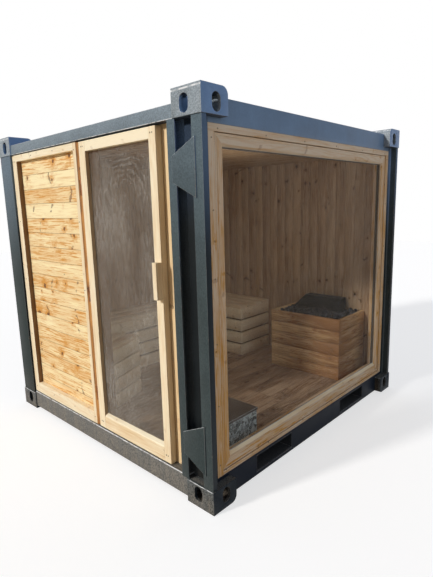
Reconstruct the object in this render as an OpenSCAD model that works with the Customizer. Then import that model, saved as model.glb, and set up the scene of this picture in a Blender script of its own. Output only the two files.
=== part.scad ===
// Small steel container fitted out as a sauna: frame, walls, window, door, benches.
// Lengths in mm, +Z up. Front (door) face at -Y, glazed face at +X.
// Origin: centre of the rectangle of the four bottom castings, at ground level.

/* [Container] */
// Outside length of the door face, along X
box_len = 1970; // [1900:5:2100]
// Outside width of the glazed face, along Y
box_wid = 1980; // [1900:5:2100]
// Outside height over the corner castings
box_hgt = 1910; // [1850:5:2100]

/* [Corner castings] */
// Casting length along X
cast_len = 178; // [170:1:190]
// Casting width along Y
cast_wid = 162; // [155:1:175]
// Casting height
cast_hgt = 118; // [110:1:125]
// Thickness of the casting's upright walls
cast_wall = 16; // [12:1:22]
// Thickness of the outer level wall, ground or sky side
cast_cap = 27; // [22:1:30]
// Thickness of the level wall towards the post
cast_floor = 10; // [8:1:14]
// Width of the upright lashing holes
lash_w = 52; // [48:1:64]
// Height of the upright lashing holes
lash_h = 79; // [75:1:82]
// Distance of the hole centres from the casting's outer end, along X
hole_x = 101.5; // [95:0.5:105]
// Distance of the hole centres from the casting's outer side, along Y
hole_y = 89; // [80:1:95]
// Length of the level twistlock slot
lock_len = 124; // [110:1:130]
// Width of the level twistlock slot
lock_wid = 63.5; // [60:0.5:70]
// Radius of the casting's inner outside corner
cast_round = 34; // [20:1:40]

/* [Posts] */
// How far the posts lie behind the casting faces
post_set = 4; // [2:1:8]
// Sheet thickness of the posts
post_t = 6; // [4:1:8]
// Depth of the posts from the casting face
post_dep = 56; // [50:1:80]
// Width of the slotted front post from the casting's end
slot_post_w = 217; // [200:1:230]
// Width of the three plain posts
post_w = 160; // [140:1:176]
// Width of the post's lip on the side faces
lip_w = 32; // [25:1:40]
// How far the sides lie behind the casting faces
side_set = 42; // [35:1:50]
// Where the side leg of a post ends, from the casting face
leg_end = 77; // [70:1:85]
// Thickness of the side leg of a post
leg_dep = 60; // [50:1:80]
// Distance of the post slot from the outer edge
slot_in = 66; // [60:1:70]
// Width of the post slot
slot_w = 102; // [90:1:110]
// Thickness of the two plates over the slot
plate_t = 5; // [4:1:8]
// Height of a plate at its long edge
plate_h = 247; // [220:1:280]
// Height by which a plate's slanted ends rise across its width
plate_cut = 68; // [50:1:90]
// Distance of the upper plate from the top casting
plate_top = 85; // [70:1:100]
// Distance of the lower plate from the bottom casting
plate_low = 68; // [50:1:90]
// How far the plates reach past the slot
plate_lap = 20; // [15:1:25]

/* [Rails] */
// How far the end rails lie behind the casting faces
end_set = 6; // [3:1:10]
// Width of all rails
rail_w = 60; // [50:1:80]
// Wall thickness of the rails
rail_t = 5; // [4:1:8]
// Height of the top end rails
end_top_h = 62; // [50:1:80]
// Ground clearance of the bottom end rails
end_lift = 18; // [10:1:25]
// Height of the bottom end rails
end_bot_h = 114; // [100:1:125]
// How far the top side rails hang below the top castings
side_drop = 24; // [16:1:40]
// Height of the top side rails
side_top_h = 109; // [95:1:120]
// Ground clearance of the bottom side rails
side_lift = 10; // [8:1:20]
// Height of the bottom side rails
side_bot_h = 128; // [115:1:135]

/* [Fork pockets] */
// Clear width of a fork pocket
fork_w = 320; // [280:1:360]
// Clear height of a fork pocket
fork_h = 84; // [70:1:100]
// Underside of the clear pocket
fork_z = 34; // [30:1:40]
// Distance between the pocket centres
fork_span = 900; // [800:10:1000]
// Wall thickness of the pocket tunnel
fork_t = 5; // [3:1:8]

/* [Steel skins] */
// Depth of the corrugation
corr_dep = 30; // [20:1:40]
// Thickness of the corrugated sheet
corr_t = 2; // [1.5:0.5:3]
// Number of corrugations on a wall
corr_n = 6; // [4:1:9]
// Height of the low ribs of the roof sheet
rib_h = 14; // [10:1:20]
// How far the ribs end before the edge of the roof sheet
rib_end = 10; // [5:1:60]
// Length of the slope at a rib's end
rib_slope = 30; // [15:1:60]
// How far the roof sheet stays back from the end rails' faces
roof_in = 34; // [25:1:45]

/* [Room] */
// Thickness of the floor boards
deck_t = 26; // [20:1:32]
// Height of the floor bearers
bearer_h = 60; // [40:1:80]
// Width of the floor bearers
bearer_w = 50; // [40:1:60]
// Thickness of the wall and ceiling boards
lining_t = 16; // [12:1:22]

/* [Panel beside the door] */
// Panel length from the front left post
panel_w = 830; // [780:1:880]
// How far the panel frame lies behind the casting face
panel_set = 17; // [10:1:25]
// Thickness of the panel frame
panel_t = 48; // [40:1:60]
// Width of the panel's left stile
panel_l = 60; // [50:1:70]
// Width of the panel's right stile
panel_r = 46; // [40:1:60]
// Height of the panel's top rail
panel_top = 42; // [35:1:60]
// Height of the panel's bottom rail
panel_bot = 72; // [60:1:90]
// How far the boards lie behind the panel frame
board_set = 30; // [20:1:35]
// Gap between the panel and the top end rail
panel_gap = 2; // [1:0.5:4]

/* [Door] */
// Width of the latch jamb beside the closed leaf
latch_show = 88; // [80:1:100]
// Thickness of the door leaf
leaf_t = 35; // [30:1:45]
// How far the leaf's face lies behind the casting face
leaf_set = 12; // [5:1:20]
// Gap between the panel frame and the leaf
leaf_gap = 26; // [20:1:32]
// Gap round the leaf, below it and to the frame behind
leaf_clear = 6; // [5:0.5:8]
// Gap between the leaf and the top end rail
leaf_head = 8; // [6:1:14]
// Width of the leaf's hinge stile
stile_h = 60; // [50:1:70]
// Width of the leaf's handle stile
stile_l = 50; // [45:1:60]
// Height of the leaf's top rail
leaf_top = 53; // [45:1:65]
// Height of the leaf's bottom rail
leaf_bot = 75; // [60:1:90]
// Width of the handle block
grip_w = 29; // [24:1:36]
// Depth of the handle block
grip_dep = 35; // [28:1:40]
// Height of the handle block
grip_h = 178; // [150:1:200]
// Underside of the handle block
grip_z = 994; // [950:1:1050]
// Depth of the door frame behind the leaf
frame_dep = 60; // [50:1:80]
// How far the leaf overlaps the door frame
frame_lap = 34; // [25:1:45]
// How far the leaf overlaps the latch jamb
latch_lap = 30; // [25:1:40]
// Height of the threshold above the floor
sill_step = 16; // [10:1:24]
// Thickness of the door glass
pane_t = 8; // [6:1:10]
// Depth of the bead behind the door glass
pane_bead = 6; // [4:1:10]
// Distance of the hinge line from the leaf's edge
hinge_side = 13; // [12:0.5:13]
// How far the hinge line lies behind the leaf's face
hinge_in = 8; // [4:1:8]
// Distance of the outer hinges from the leaf's ends
hinge_end = 200; // [150:5:260]
// Radius of the hinge barrel
knuckle_r = 6; // [5:0.5:7]
// Radius of the hinge pin
pin_r = 3; // [2.5:0.5:3.5]
// Radial running gap on the hinge pin
pin_gap = 0.08; // [0.05:0.01:0.1]
// Length of one hinge barrel
knuckle_l = 40; // [30:1:50]
// Thickness of the hinge flaps
flap_t = 2.5; // [2:0.5:3]
// Length of the hinge flaps on the wood's edges
flap_l = 22; // [16:1:23]

/* [Window] */
// Width of the window lining strip at the sides
wl_side = 40; // [30:1:50]
// Height of the window lining strip at the top
wl_top = 32; // [25:1:40]
// Height of the window lining strip at the bottom
wl_bot = 20; // [15:1:30]
// Depth of the window lining
wl_dep = 83; // [70:1:95]
// How far the sash lies behind the lining
sash_set = 4; // [2:1:8]
// Thickness of the sash
sash_t = 56; // [50:1:70]
// Width of the sash bars
sash_w = 58; // [50:1:70]
// Height of the sloping bead at the bottom of the glass
sill_h = 28; // [20:1:35]
// How far the glass lies behind the sash face
glass_set = 11; // [8:1:20]
// Thickness of the insulating glass
glass_t = 24; // [20:1:32]

/* [Benches] */
// Height of the benches above the floor
bench_h = 432; // [400:1:480]
// Thickness of the bench boards
bench_t = 24; // [20:1:30]
// Width of the left bench
bench_w = 317; // [280:1:360]
// Width of the rear bench and of the boarded box
back_w = 390; // [360:1:420]
// Length of the rear bench
back_l = 440; // [380:5:500]
// Length of the boarded box
chest_w = 592; // [550:1:620]
// Gap between the boarded box and the window wall
chest_gap = 56; // [40:1:80]
// Height of the boarded box above the floor
chest_h = 452; // [420:1:480]
// Length of the loose stool
stool_l = 320; // [280:1:360]
// Width of the loose stool
stool_w = 190; // [170:1:210]
// Height of the loose stool
stool_h = 410; // [380:1:430]
// Turn of the loose stool
stool_turn = 21.5; // [15:0.5:30]
// Distance of the stool's near corner from the left bench
stool_x = 490; // [470:1:520]
// Distance of the stool's near corner from the front boards
stool_y = 76; // [74:1:90]

/* [Heater] */
// Free space between the heater and the boards round it
heat_gap = 8; // [5:1:12]
// How far the heater's top plate lies below the rim of its box
heat_drop = 20; // [15:1:30]
// Length of the raised hood
hood_w = 411; // [380:1:430]
// Depth of the raised hood at its foot
hood_d = 150; // [130:1:180]
// Height of the raised hood
hood_h = 109; // [90:1:115]
// How far the hood's left end slopes in
hood_left = 86; // [70:1:110]
// How far the hood's front slopes back
hood_front = 80; // [60:1:110]

/* [Stone block] */
// Length of the stone block along the window
block_l = 374; // [340:1:400]
// Width of the stone block
block_w = 234; // [200:1:260]
// Height of the stone block without its lid
block_h = 150; // [130:1:180]
// Thickness of the lid
lid_t = 14; // [8:1:16]
// How far the lid reaches over the block
lid_over = 3; // [2:1:5]
// Gap between the lid and the window lining
block_gap = 23; // [12:1:40]
// Gap between the lid and the front boards
block_set = 31; // [20:1:50]

/* [Hidden] */
$fn = 64;
e = 0.01;
hx = box_len / 2;
hy = box_wid / 2;
post_z0 = cast_hgt;
post_z1 = box_hgt - cast_hgt;
end_bot_z1 = end_lift + end_bot_h;
side_bot_z1 = side_lift + side_bot_h;
end_top_z1 = post_z1 + end_top_h;
side_top_z = post_z1 - side_drop;
side_top_z1 = side_top_z + side_top_h;
rail_x = hx - cast_len;
rail_y = hy - cast_wid;
side_x = hx - side_set;
side_in_x = side_x - rail_w;
end_in_y = hy - end_set - rail_w;
fork_top = fork_z + fork_h + fork_t;
floor_z = fork_top + deck_t;
bearer_y = (fork_span / 2 + fork_w / 2 + fork_t + rail_y) / 2;
ceiling_z = side_top_z - lining_t;
room_x0 = -(side_in_x - lining_t);
room_y1 = end_in_y - lining_t;
leg_y = hy - leg_end;
panel_x0 = -(hx - post_w);
panel_x1 = panel_x0 + panel_w;
panel_y = -(hy - panel_set);
panel_z1 = post_z1 - panel_gap;
leaf_x0 = panel_x1 + leaf_gap;
leaf_x1 = hx - slot_post_w - latch_show;
leaf_w = leaf_x1 - leaf_x0;
leaf_y = -(hy - leaf_set);
leaf_z0 = end_bot_z1 + leaf_clear;
leaf_z1 = post_z1 - leaf_head;
frame_y = leaf_y + leaf_t + leaf_clear;
frame_y1 = frame_y + frame_dep;
room_y0 = frame_y1;
latch_x1 = hx - slot_post_w;
door_x0 = leaf_x0 + frame_lap;
door_x1 = leaf_x1 - latch_lap;
door_z0 = floor_z + sill_step;
door_z1 = leaf_z1 - frame_lap;
hinge_x = leaf_x0 - hinge_side;
hinge_y = leaf_y + hinge_in;
hinge_z = [leaf_z0 + hinge_end, (leaf_z0 + leaf_z1 - knuckle_l) / 2,
    leaf_z1 - hinge_end - knuckle_l];
wl_y = leg_y;
wl_z0 = side_bot_z1;
wl_z1 = side_top_z;
sash_y = wl_y - wl_side;
sash_z0 = wl_z0 + wl_bot;
sash_z1 = wl_z1 - wl_top;
sash_x = side_x - sash_set;
pane_y = sash_y - sash_w;
pane_z0 = sash_z0 + sash_w;
pane_z1 = sash_z1 - sash_w;
glass_x = sash_x - glass_set;
wall_x = side_x - wl_dep;
bench_x = room_x0 + bench_w;
bench_y = room_y1 - back_w;
chest_x = wall_x - chest_gap - chest_w;
heat_in = bench_t + heat_gap;
heat_w = chest_w - 2 * heat_in;
heat_d = back_w - heat_in - heat_gap;
heat_h = chest_h - heat_drop;
lid_x = wall_x - block_gap - block_w - 2 * lid_over;
lid_y = room_y0 + block_set;

// Copies a shape to all four corners.
module corners() {
    for (mx = [0, 1])
        for (my = [0, 1])
            mirror([mx, 0, 0])
                mirror([0, my, 0])
                    children();
}

// Rounded upright hole, drawn in the plane of a wall, centred on its middle.
module lash_hole(depth) {
    r = lash_w / 2;
    half = lash_h / 2 - r;
    rotate([90, 0, 0])
        linear_extrude(height = depth, center = true)
            union() {
                translate([0, half]) circle(r);
                translate([0, -half]) circle(r);
                square([lash_w, 2 * half], center = true);
            }
}

// Level slot for a twistlock, with rounded ends.
module lock_hole(depth) {
    r = lock_wid / 2;
    half = lock_len / 2 - r;
    linear_extrude(height = depth, center = true)
        union() {
            translate([half, 0]) circle(r);
            translate([-half, 0]) circle(r);
            square([2 * half, lock_wid], center = true);
        }
}

// Side outline of a casting: its inner corner on the ground side is rounded.
module cast_outline() {
    r = cast_round;
    union() {
        square([cast_wid - r, cast_hgt]);
        translate([0, r]) square([cast_wid, cast_hgt - r]);
        translate([cast_wid - r, r]) circle(r);
    }
}

// One casting for the corner at +X, +Y, with its ground side at z = 0.
module casting() {
    cap_in = cast_hgt - cast_floor;
    mid_z = cast_cap + lash_h / 2 + 1;
    translate([hx - cast_len, hy, 0])
        difference() {
            rotate([90, 0, 90])
                mirror([1, 0, 0])
                    linear_extrude(height = cast_len)
                        cast_outline();
            translate([cast_wall, -cast_wid + cast_wall, cast_cap])
                cube([cast_len - 2 * cast_wall, cast_wid - 2 * cast_wall, cap_in - cast_cap]);
            translate([cast_len - hole_x, -hole_y, cast_cap / 2])
                lock_hole(cast_cap + 2);
            translate([cast_len - hole_x, -cast_wall / 2, mid_z])
                lash_hole(cast_wall + 2);
            translate([cast_len - cast_wall / 2, -hole_y, mid_z])
                rotate([0, 0, 90])
                    lash_hole(cast_wall + 2);
        }
}

module bottom_castings() {
    color([0.29, 0.33, 0.37])
        corners() casting();
}

module top_castings() {
    color([0.29, 0.33, 0.37])
        translate([0, 0, box_hgt])
            mirror([0, 0, 1])
                corners() casting();
}

// Plan of a post for the corner at +X, +Y; w is its width on the end face.
module post_plan(w) {
    x1 = hx - post_set;
    y1 = hy - post_set;
    xs = hx - side_set;
    yl = hy - lip_w;
    leg_x = hx - side_set - leg_dep;
    difference() {
        polygon([[x1, y1], [hx - w, y1], [hx - w, hy - post_dep], [leg_x, hy - post_dep],
            [leg_x, hy - leg_end], [xs, hy - leg_end], [xs, yl], [x1, yl]]);
        polygon([[x1 - post_t, y1 - post_t], [hx - w + post_t, y1 - post_t],
            [hx - w + post_t, hy - post_dep + post_t],
            [leg_x + post_t, hy - post_dep + post_t],
            [leg_x + post_t, hy - leg_end + post_t],
            [xs - post_t, hy - leg_end + post_t],
            [xs - post_t, yl + post_t], [x1 - post_t, yl + post_t]]);
    }
}

module plain_post(w) {
    translate([0, 0, post_z0])
        linear_extrude(height = post_z1 - post_z0)
            post_plan(w);
}

// Room taken by the end rails where they run beside the posts.
module end_rail_room() {
    for (s = [-1, 1])
        translate([-rail_x, s > 0 ? end_in_y : -hy + end_set, end_lift])
            cube([2 * rail_x, rail_w, end_bot_h]);
}

module slotted_post() {
    color([0.29, 0.33, 0.37])
        difference() {
            mirror([0, 1, 0]) plain_post(slot_post_w);
            translate([hx - slot_in - slot_w, -hy, post_z0 - 1])
                cube([slot_w, post_set + post_t + 1, post_z1 - post_z0 + 2]);
            end_rail_room();
        }
}

// Plates welded over the slot, each cut off at a slant.
module slot_plates() {
    x0 = hx - slot_in - slot_w - plate_lap;
    x1 = hx - slot_in + plate_lap;
    low = post_z0 + plate_low;
    top = post_z1 - plate_top;
    color([0.29, 0.33, 0.37])
        translate([0, -hy + post_set, 0])
            rotate([90, 0, 0])
                linear_extrude(height = plate_t)
                    for (z = [low, top - plate_h])
                        polygon([[x0, z + plate_cut], [x1, z], [x1, z + plate_h],
                            [x0, z + plate_h - plate_cut]]);
}

module front_left_post() {
    color([0.29, 0.33, 0.37])
        difference() {
            mirror([1, 0, 0]) mirror([0, 1, 0]) plain_post(post_w);
            end_rail_room();
        }
}

module rear_posts() {
    color([0.29, 0.33, 0.37])
        difference() {
            for (m = [0, 1])
                mirror([m, 0, 0]) plain_post(post_w);
            end_rail_room();
        }
}

// Square tube along X between the castings.
module end_rail(z0, h) {
    translate([-rail_x, 0, z0])
        difference() {
            cube([2 * rail_x, rail_w, h]);
            translate([-1, rail_t, rail_t])
                cube([2 * rail_x + 2, rail_w - 2 * rail_t, h - 2 * rail_t]);
        }
}

module front_bottom_rail() {
    color([0.36, 0.36, 0.35])
        translate([0, -hy + end_set, 0]) end_rail(end_lift, end_bot_h);
}

module rear_bottom_rail() {
    color([0.29, 0.33, 0.37])
        translate([0, end_in_y, 0]) end_rail(end_lift, end_bot_h);
}

module front_top_rail() {
    color([0.36, 0.40, 0.44])
        translate([0, -hy + end_set, 0]) end_rail(post_z1, end_top_h);
}

module rear_top_rail() {
    color([0.29, 0.33, 0.37])
        translate([0, end_in_y, 0]) end_rail(post_z1, end_top_h);
}

// Tunnel for a fork tine, along X, outside size.
module fork_block(s, grow, len) {
    translate([-len / 2, s * fork_span / 2 - fork_w / 2 - grow, fork_z - grow])
        cube([len, fork_w + 2 * grow, fork_h + 2 * grow]);
}

// Bottom side rail with its ends laid over the castings up to the posts.
module bottom_side_rail() {
    difference() {
        union() {
            translate([side_in_x, -rail_y, side_lift])
                cube([rail_w, 2 * rail_y, side_bot_h]);
            translate([side_in_x, -leg_y, cast_hgt])
                cube([rail_w, 2 * leg_y, side_bot_z1 - cast_hgt]);
        }
        translate([side_in_x + rail_t, -rail_y - 1, side_lift + rail_t])
            cube([rail_w - 2 * rail_t, 2 * rail_y + 2, cast_hgt - side_lift - rail_t]);
        for (s = [-1, 1])
            fork_block(s, fork_t, box_len);
    }
}

module right_bottom_rail() {
    color([0.29, 0.33, 0.37]) bottom_side_rail();
}

module left_bottom_rail() {
    color([0.29, 0.33, 0.37])
        mirror([1, 0, 0]) bottom_side_rail();
}

// Top side rail, its lower part carried on under the castings to the posts.
module top_side_rail() {
    difference() {
        union() {
            translate([side_in_x, -rail_y, side_top_z])
                cube([rail_w, 2 * rail_y, side_top_h]);
            translate([side_in_x, -leg_y, side_top_z])
                cube([rail_w, 2 * leg_y, post_z1 - side_top_z]);
        }
        translate([side_in_x + rail_t, -rail_y - 1, post_z1])
            cube([rail_w - 2 * rail_t, 2 * rail_y + 2, side_top_z1 - post_z1 - rail_t]);
    }
}

module right_top_rail() {
    color([0.29, 0.33, 0.37]) top_side_rail();
}

module left_top_rail() {
    color([0.29, 0.33, 0.37])
        mirror([1, 0, 0]) top_side_rail();
}

module fork_tunnels() {
    color([0.20, 0.23, 0.26])
        difference() {
            for (s = [-1, 1])
                fork_block(s, fork_t, 2 * side_x);
            for (s = [-1, 1])
                fork_block(s, 0, box_len);
        }
}

// Steel bearers between the side rails, under the floor boards.
module floor_bearers() {
    color([0.20, 0.23, 0.26])
        for (s = [-1, 0, 1])
            translate([-side_in_x, s * bearer_y - bearer_w / 2, fork_top - bearer_h])
                cube([2 * side_in_x, bearer_w, bearer_h]);
}

module floor_deck() {
    color([0.72, 0.60, 0.43])
        difference() {
            translate([-side_in_x, -end_in_y, fork_top])
                cube([side_in_x + wall_x, 2 * end_in_y, deck_t]);
            translate([panel_x1, -hy, fork_top - 1])
                cube([latch_x1 - panel_x1, hy + frame_y1, deck_t + 2]);
        }
}

// Outline of a corrugated sheet of length len, outer face at y = 0.
module corr_plan(len) {
    p = len / corr_n;
    d = corr_dep - corr_t;
    out = [for (i = [0 : corr_n - 1]) each [[i * p + 0.14 * p, 0], [i * p + 0.38 * p, d],
        [i * p + 0.62 * p, d], [i * p + 0.86 * p, 0]]];
    top = [[0, 0], each out, [len, 0]];
    low = [for (i = [len(top) - 1 : -1 : 0]) top[i] + [0, corr_t]];
    polygon([each top, each low]);
}

module rear_wall() {
    len = 2 * (hx - post_w);
    color([0.29, 0.33, 0.37])
        translate([len / 2, hy - end_set, end_bot_z1])
            rotate([0, 0, 180])
                linear_extrude(height = post_z1 - end_bot_z1)
                    corr_plan(len);
}

module left_wall() {
    len = 2 * leg_y;
    color([0.29, 0.33, 0.37])
        translate([-side_x, leg_y, side_bot_z1])
            rotate([0, 0, -90])
                linear_extrude(height = side_top_z - side_bot_z1)
                    corr_plan(len);
}

// Roof sheet resting on the end rails between the side rails.
module roof_sheet() {
    len = 2 * side_in_x;
    wid = 2 * (hy - end_set - roof_in);
    pitch = len / corr_n;
    color([0.29, 0.33, 0.37])
        translate([0, 0, end_top_z1])
            difference() {
                union() {
                    translate([-len / 2, -wid / 2, 0]) cube([len, wid, corr_t]);
                    ribs(pitch, wid - 2 * rib_end, corr_t);
                }
                ribs(pitch, wid - 2 * rib_end, 0);
                corners()
                    translate([rail_x, rail_y, -1])
                        cube([cast_len, cast_wid, cast_hgt]);
            }
}

// Row of roof ribs whose feet lie at height z.
module ribs(pitch, run, z) {
    for (i = [0 : corr_n - 1])
        translate([(i + 0.5 - corr_n / 2) * pitch, 0, z]) rib_form(pitch, run);
}

// One rib with sloped sides and ends.
module rib_form(pitch, run) {
    foot = 0.40 * pitch;
    crown = 0.24 * pitch;
    intersection() {
        translate([0, run / 2, 0])
            rotate([90, 0, 0])
                linear_extrude(height = run)
                    polygon([[-foot / 2, 0], [foot / 2, 0], [crown / 2, rib_h],
                        [-crown / 2, rib_h]]);
        translate([-foot / 2, 0, 0])
            rotate([90, 0, 90])
                linear_extrude(height = foot)
                    polygon([[-run / 2, 0], [run / 2, 0], [run / 2 - rib_slope, rib_h],
                        [rib_slope - run / 2, rib_h]]);
    }
}

module ceiling_lining() {
    color([0.80, 0.68, 0.48])
        translate([room_x0, room_y0, ceiling_z])
            cube([wall_x - room_x0, room_y1 - room_y0, lining_t]);
}

module rear_lining() {
    color([0.80, 0.68, 0.48])
        translate([room_x0 - lining_t, room_y1, floor_z])
            cube([wall_x - room_x0 + lining_t, lining_t, ceiling_z + lining_t - floor_z]);
}

module left_lining() {
    color([0.80, 0.68, 0.48])
        translate([room_x0 - lining_t, room_y0, floor_z])
            cube([lining_t, room_y1 - room_y0, ceiling_z + lining_t - floor_z]);
}

// Inner boards behind the panel, and a strip behind the slotted post.
module front_lining() {
    color([0.80, 0.68, 0.48])
        for (x = [[room_x0, panel_x1], [latch_x1, wall_x]])
            translate([x[0], room_y0 - lining_t, floor_z])
                cube([x[1] - x[0], lining_t, ceiling_z + lining_t - floor_z]);
}

// Framed panel between the front left post and the door.
module panel_frame() {
    color([0.93, 0.84, 0.66])
        difference() {
            translate([panel_x0, panel_y, end_bot_z1])
                cube([panel_w, panel_t, panel_z1 - end_bot_z1]);
            translate([panel_x0 + panel_l, panel_y - 1, end_bot_z1 + panel_bot])
                cube([panel_w - panel_l - panel_r, panel_t + 2,
                    panel_z1 - panel_top - end_bot_z1 - panel_bot]);
        }
}

module panel_boards() {
    color([0.88, 0.70, 0.42])
        translate([panel_x0 + panel_l, panel_y + board_set, end_bot_z1 + panel_bot])
            cube([panel_w - panel_l - panel_r, panel_t - board_set,
                panel_z1 - panel_top - end_bot_z1 - panel_bot]);
}

module hinge_jamb() {
    color([0.86, 0.72, 0.50])
        translate([panel_x1, frame_y, end_bot_z1])
            cube([door_x0 - panel_x1, frame_dep, post_z1 - end_bot_z1]);
}

module latch_jamb() {
    color([0.86, 0.72, 0.50])
        translate([door_x1, frame_y, end_bot_z1])
            cube([latch_x1 - door_x1, frame_dep, post_z1 - end_bot_z1]);
}

module door_head() {
    color([0.86, 0.72, 0.50])
        translate([door_x0, frame_y, door_z1])
            cube([door_x1 - door_x0, frame_dep, post_z1 - door_z1]);
}

module threshold() {
    color([0.80, 0.66, 0.45])
        translate([door_x0, frame_y, end_bot_z1])
            cube([door_x1 - door_x0, frame_dep, door_z0 - end_bot_z1]);
}

// Fixed lining of the window opening in the glazed face.
module window_lining() {
    color([0.60, 0.51, 0.40])
        difference() {
            translate([side_x - wl_dep, -wl_y, wl_z0])
                cube([wl_dep, 2 * wl_y, wl_z1 - wl_z0]);
            translate([side_x - wl_dep - 1, -sash_y, sash_z0])
                cube([wl_dep + 2, 2 * sash_y, sash_z1 - sash_z0]);
        }
}

// Frame round the fixed glass, with the sloping bead at its foot.
module window_sash() {
    color([0.58, 0.48, 0.36])
        union() {
            difference() {
                translate([sash_x - sash_t, -sash_y, sash_z0])
                    cube([sash_t, 2 * sash_y, sash_z1 - sash_z0]);
                translate([sash_x - sash_t - 1, -pane_y, pane_z0])
                    cube([sash_t + 2, 2 * pane_y, pane_z1 - pane_z0]);
            }
            translate([0, pane_y, 0])
                rotate([90, 0, 0])
                    linear_extrude(height = 2 * pane_y)
                        polygon([[sash_x - 1, pane_z0], [glass_x, pane_z0 + sill_h],
                            [glass_x - 0.5, pane_z0 + sill_h], [glass_x - 0.5, pane_z0]]);
        }
}

module window_glass() {
    color([0.45, 0.45, 0.42, 0.5])
        translate([glass_x - 0.5 - glass_t, -pane_y, pane_z0])
            cube([glass_t, 2 * pane_y, pane_z1 - pane_z0]);
}

module door_leaf() {
    color([0.93, 0.84, 0.66])
        difference() {
            translate([leaf_x0, leaf_y, leaf_z0])
                cube([leaf_w, leaf_t, leaf_z1 - leaf_z0]);
            translate([leaf_x0 + stile_h, leaf_y - 1, leaf_z0 + leaf_bot])
                cube([leaf_w - stile_h - stile_l, leaf_t + 2,
                    leaf_z1 - leaf_z0 - leaf_bot - leaf_top]);
        }
}

module door_glass() {
    color([0.45, 0.45, 0.42, 0.5])
        translate([leaf_x0 + stile_h, leaf_y + leaf_t - pane_t - pane_bead, leaf_z0 + leaf_bot])
            cube([leaf_w - stile_h - stile_l, pane_t,
                leaf_z1 - leaf_z0 - leaf_bot - leaf_top]);
}

module door_handle() {
    color([0.93, 0.84, 0.66])
        translate([leaf_x1 - grip_w, leaf_y - grip_dep, grip_z])
            cube([grip_w, grip_dep, grip_h]);
}

// Moving half of each hinge: a barrel with a cranked flap on the leaf's edge.
module hinge_straps() {
    color([0.36, 0.27, 0.18])
        for (z = hinge_z)
            translate([hinge_x, hinge_y, z])
                difference() {
                    union() {
                        cylinder(r = knuckle_r, h = knuckle_l);
                        translate([0, knuckle_r - flap_t, 0])
                            cube([hinge_side, flap_t, knuckle_l]);
                        translate([hinge_side - flap_t, knuckle_r - flap_t, 0])
                            cube([flap_t, flap_l, knuckle_l]);
                    }
                    translate([0, 0, -1])
                        cylinder(r = pin_r + pin_gap, h = knuckle_l + 2);
                }
}

// Fixed half: a barrel with the pin, and a cranked flap on the panel frame's edge.
module hinge_plates() {
    arm = hinge_x - panel_x1;
    color([0.36, 0.27, 0.18])
        for (z = hinge_z)
            translate([hinge_x, hinge_y, z]) {
                translate([0, 0, -knuckle_l - 0.5])
                    union() {
                        cylinder(r = knuckle_r, h = knuckle_l);
                        translate([-arm, knuckle_r - flap_t, 0])
                            cube([arm, flap_t, knuckle_l]);
                        translate([-arm, knuckle_r - flap_t, 0])
                            cube([flap_t, flap_l, knuckle_l]);
                    }
                translate([0, 0, -1]) cylinder(r = pin_r, h = knuckle_l + 1);
            }
}

// Bench along the left wall: front boards and seat.
module left_bench() {
    len = room_y1 - room_y0;
    color([0.74, 0.62, 0.44])
        translate([room_x0, room_y0, floor_z])
            union() {
                translate([bench_w - bench_t, 0, 0])
                    cube([bench_t, len, bench_h - bench_t]);
                translate([0, 0, bench_h - bench_t]) cube([bench_w, len, bench_t]);
            }
}

// Bench along the rear wall, from the left bench to its own end board.
module rear_bench() {
    color([0.74, 0.62, 0.44])
        translate([bench_x, bench_y, floor_z])
            union() {
                cube([back_l, bench_t, bench_h - bench_t]);
                translate([back_l - bench_t, 0, 0])
                    cube([bench_t, back_w, bench_h - bench_t]);
                translate([0, 0, bench_h - bench_t]) cube([back_l, back_w, bench_t]);
            }
}

module boarded_box() {
    color([0.70, 0.56, 0.38])
        translate([chest_x, bench_y, floor_z])
            union() {
                cube([chest_w, bench_t, chest_h]);
                cube([bench_t, back_w, chest_h]);
                translate([chest_w - bench_t, 0, 0]) cube([bench_t, back_w, chest_h]);
            }
}

// Raised hood with a sloping front and a sloping left end.
module hood() {
    intersection() {
        rotate([90, 0, 90])
            linear_extrude(height = hood_w)
                polygon([[0, 0], [hood_d, 0], [hood_d, hood_h], [hood_front, hood_h]]);
        translate([0, hood_d, 0])
            rotate([90, 0, 0])
                linear_extrude(height = hood_d)
                    polygon([[0, 0], [hood_w, 0], [hood_w, hood_h], [hood_left, hood_h]]);
    }
}

// Black heater standing in the boarded box; its hood rises over the rim.
module heater() {
    color([0.13, 0.14, 0.15])
        translate([chest_x + heat_in, bench_y + heat_in, floor_z])
            union() {
                cube([heat_w, heat_d, heat_h]);
                translate([0, heat_d - hood_d, heat_h]) hood();
            }
}

// Low stone block beside the window.
module stone_block() {
    color([0.40, 0.43, 0.41])
        translate([lid_x + lid_over, lid_y + lid_over, floor_z])
            cube([block_w, block_l, block_h]);
}

// Dark lid on the stone block.
module block_lid() {
    color([0.26, 0.24, 0.22])
        translate([lid_x, lid_y, floor_z + block_h])
            cube([block_w + 2 * lid_over, block_l + 2 * lid_over, lid_t]);
}

// Loose stool standing a little askew behind the panel.
module stool() {
    color([0.74, 0.62, 0.44])
        translate([bench_x + stool_x, room_y0 + stool_y, floor_z])
            rotate([0, 0, 90 + stool_turn])
                difference() {
                    cube([stool_l, stool_w, stool_h]);
                    translate([bench_t, bench_t, -1])
                        cube([stool_l - 2 * bench_t, stool_w - 2 * bench_t,
                            stool_h - bench_t + 1]);
                }
}

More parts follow.
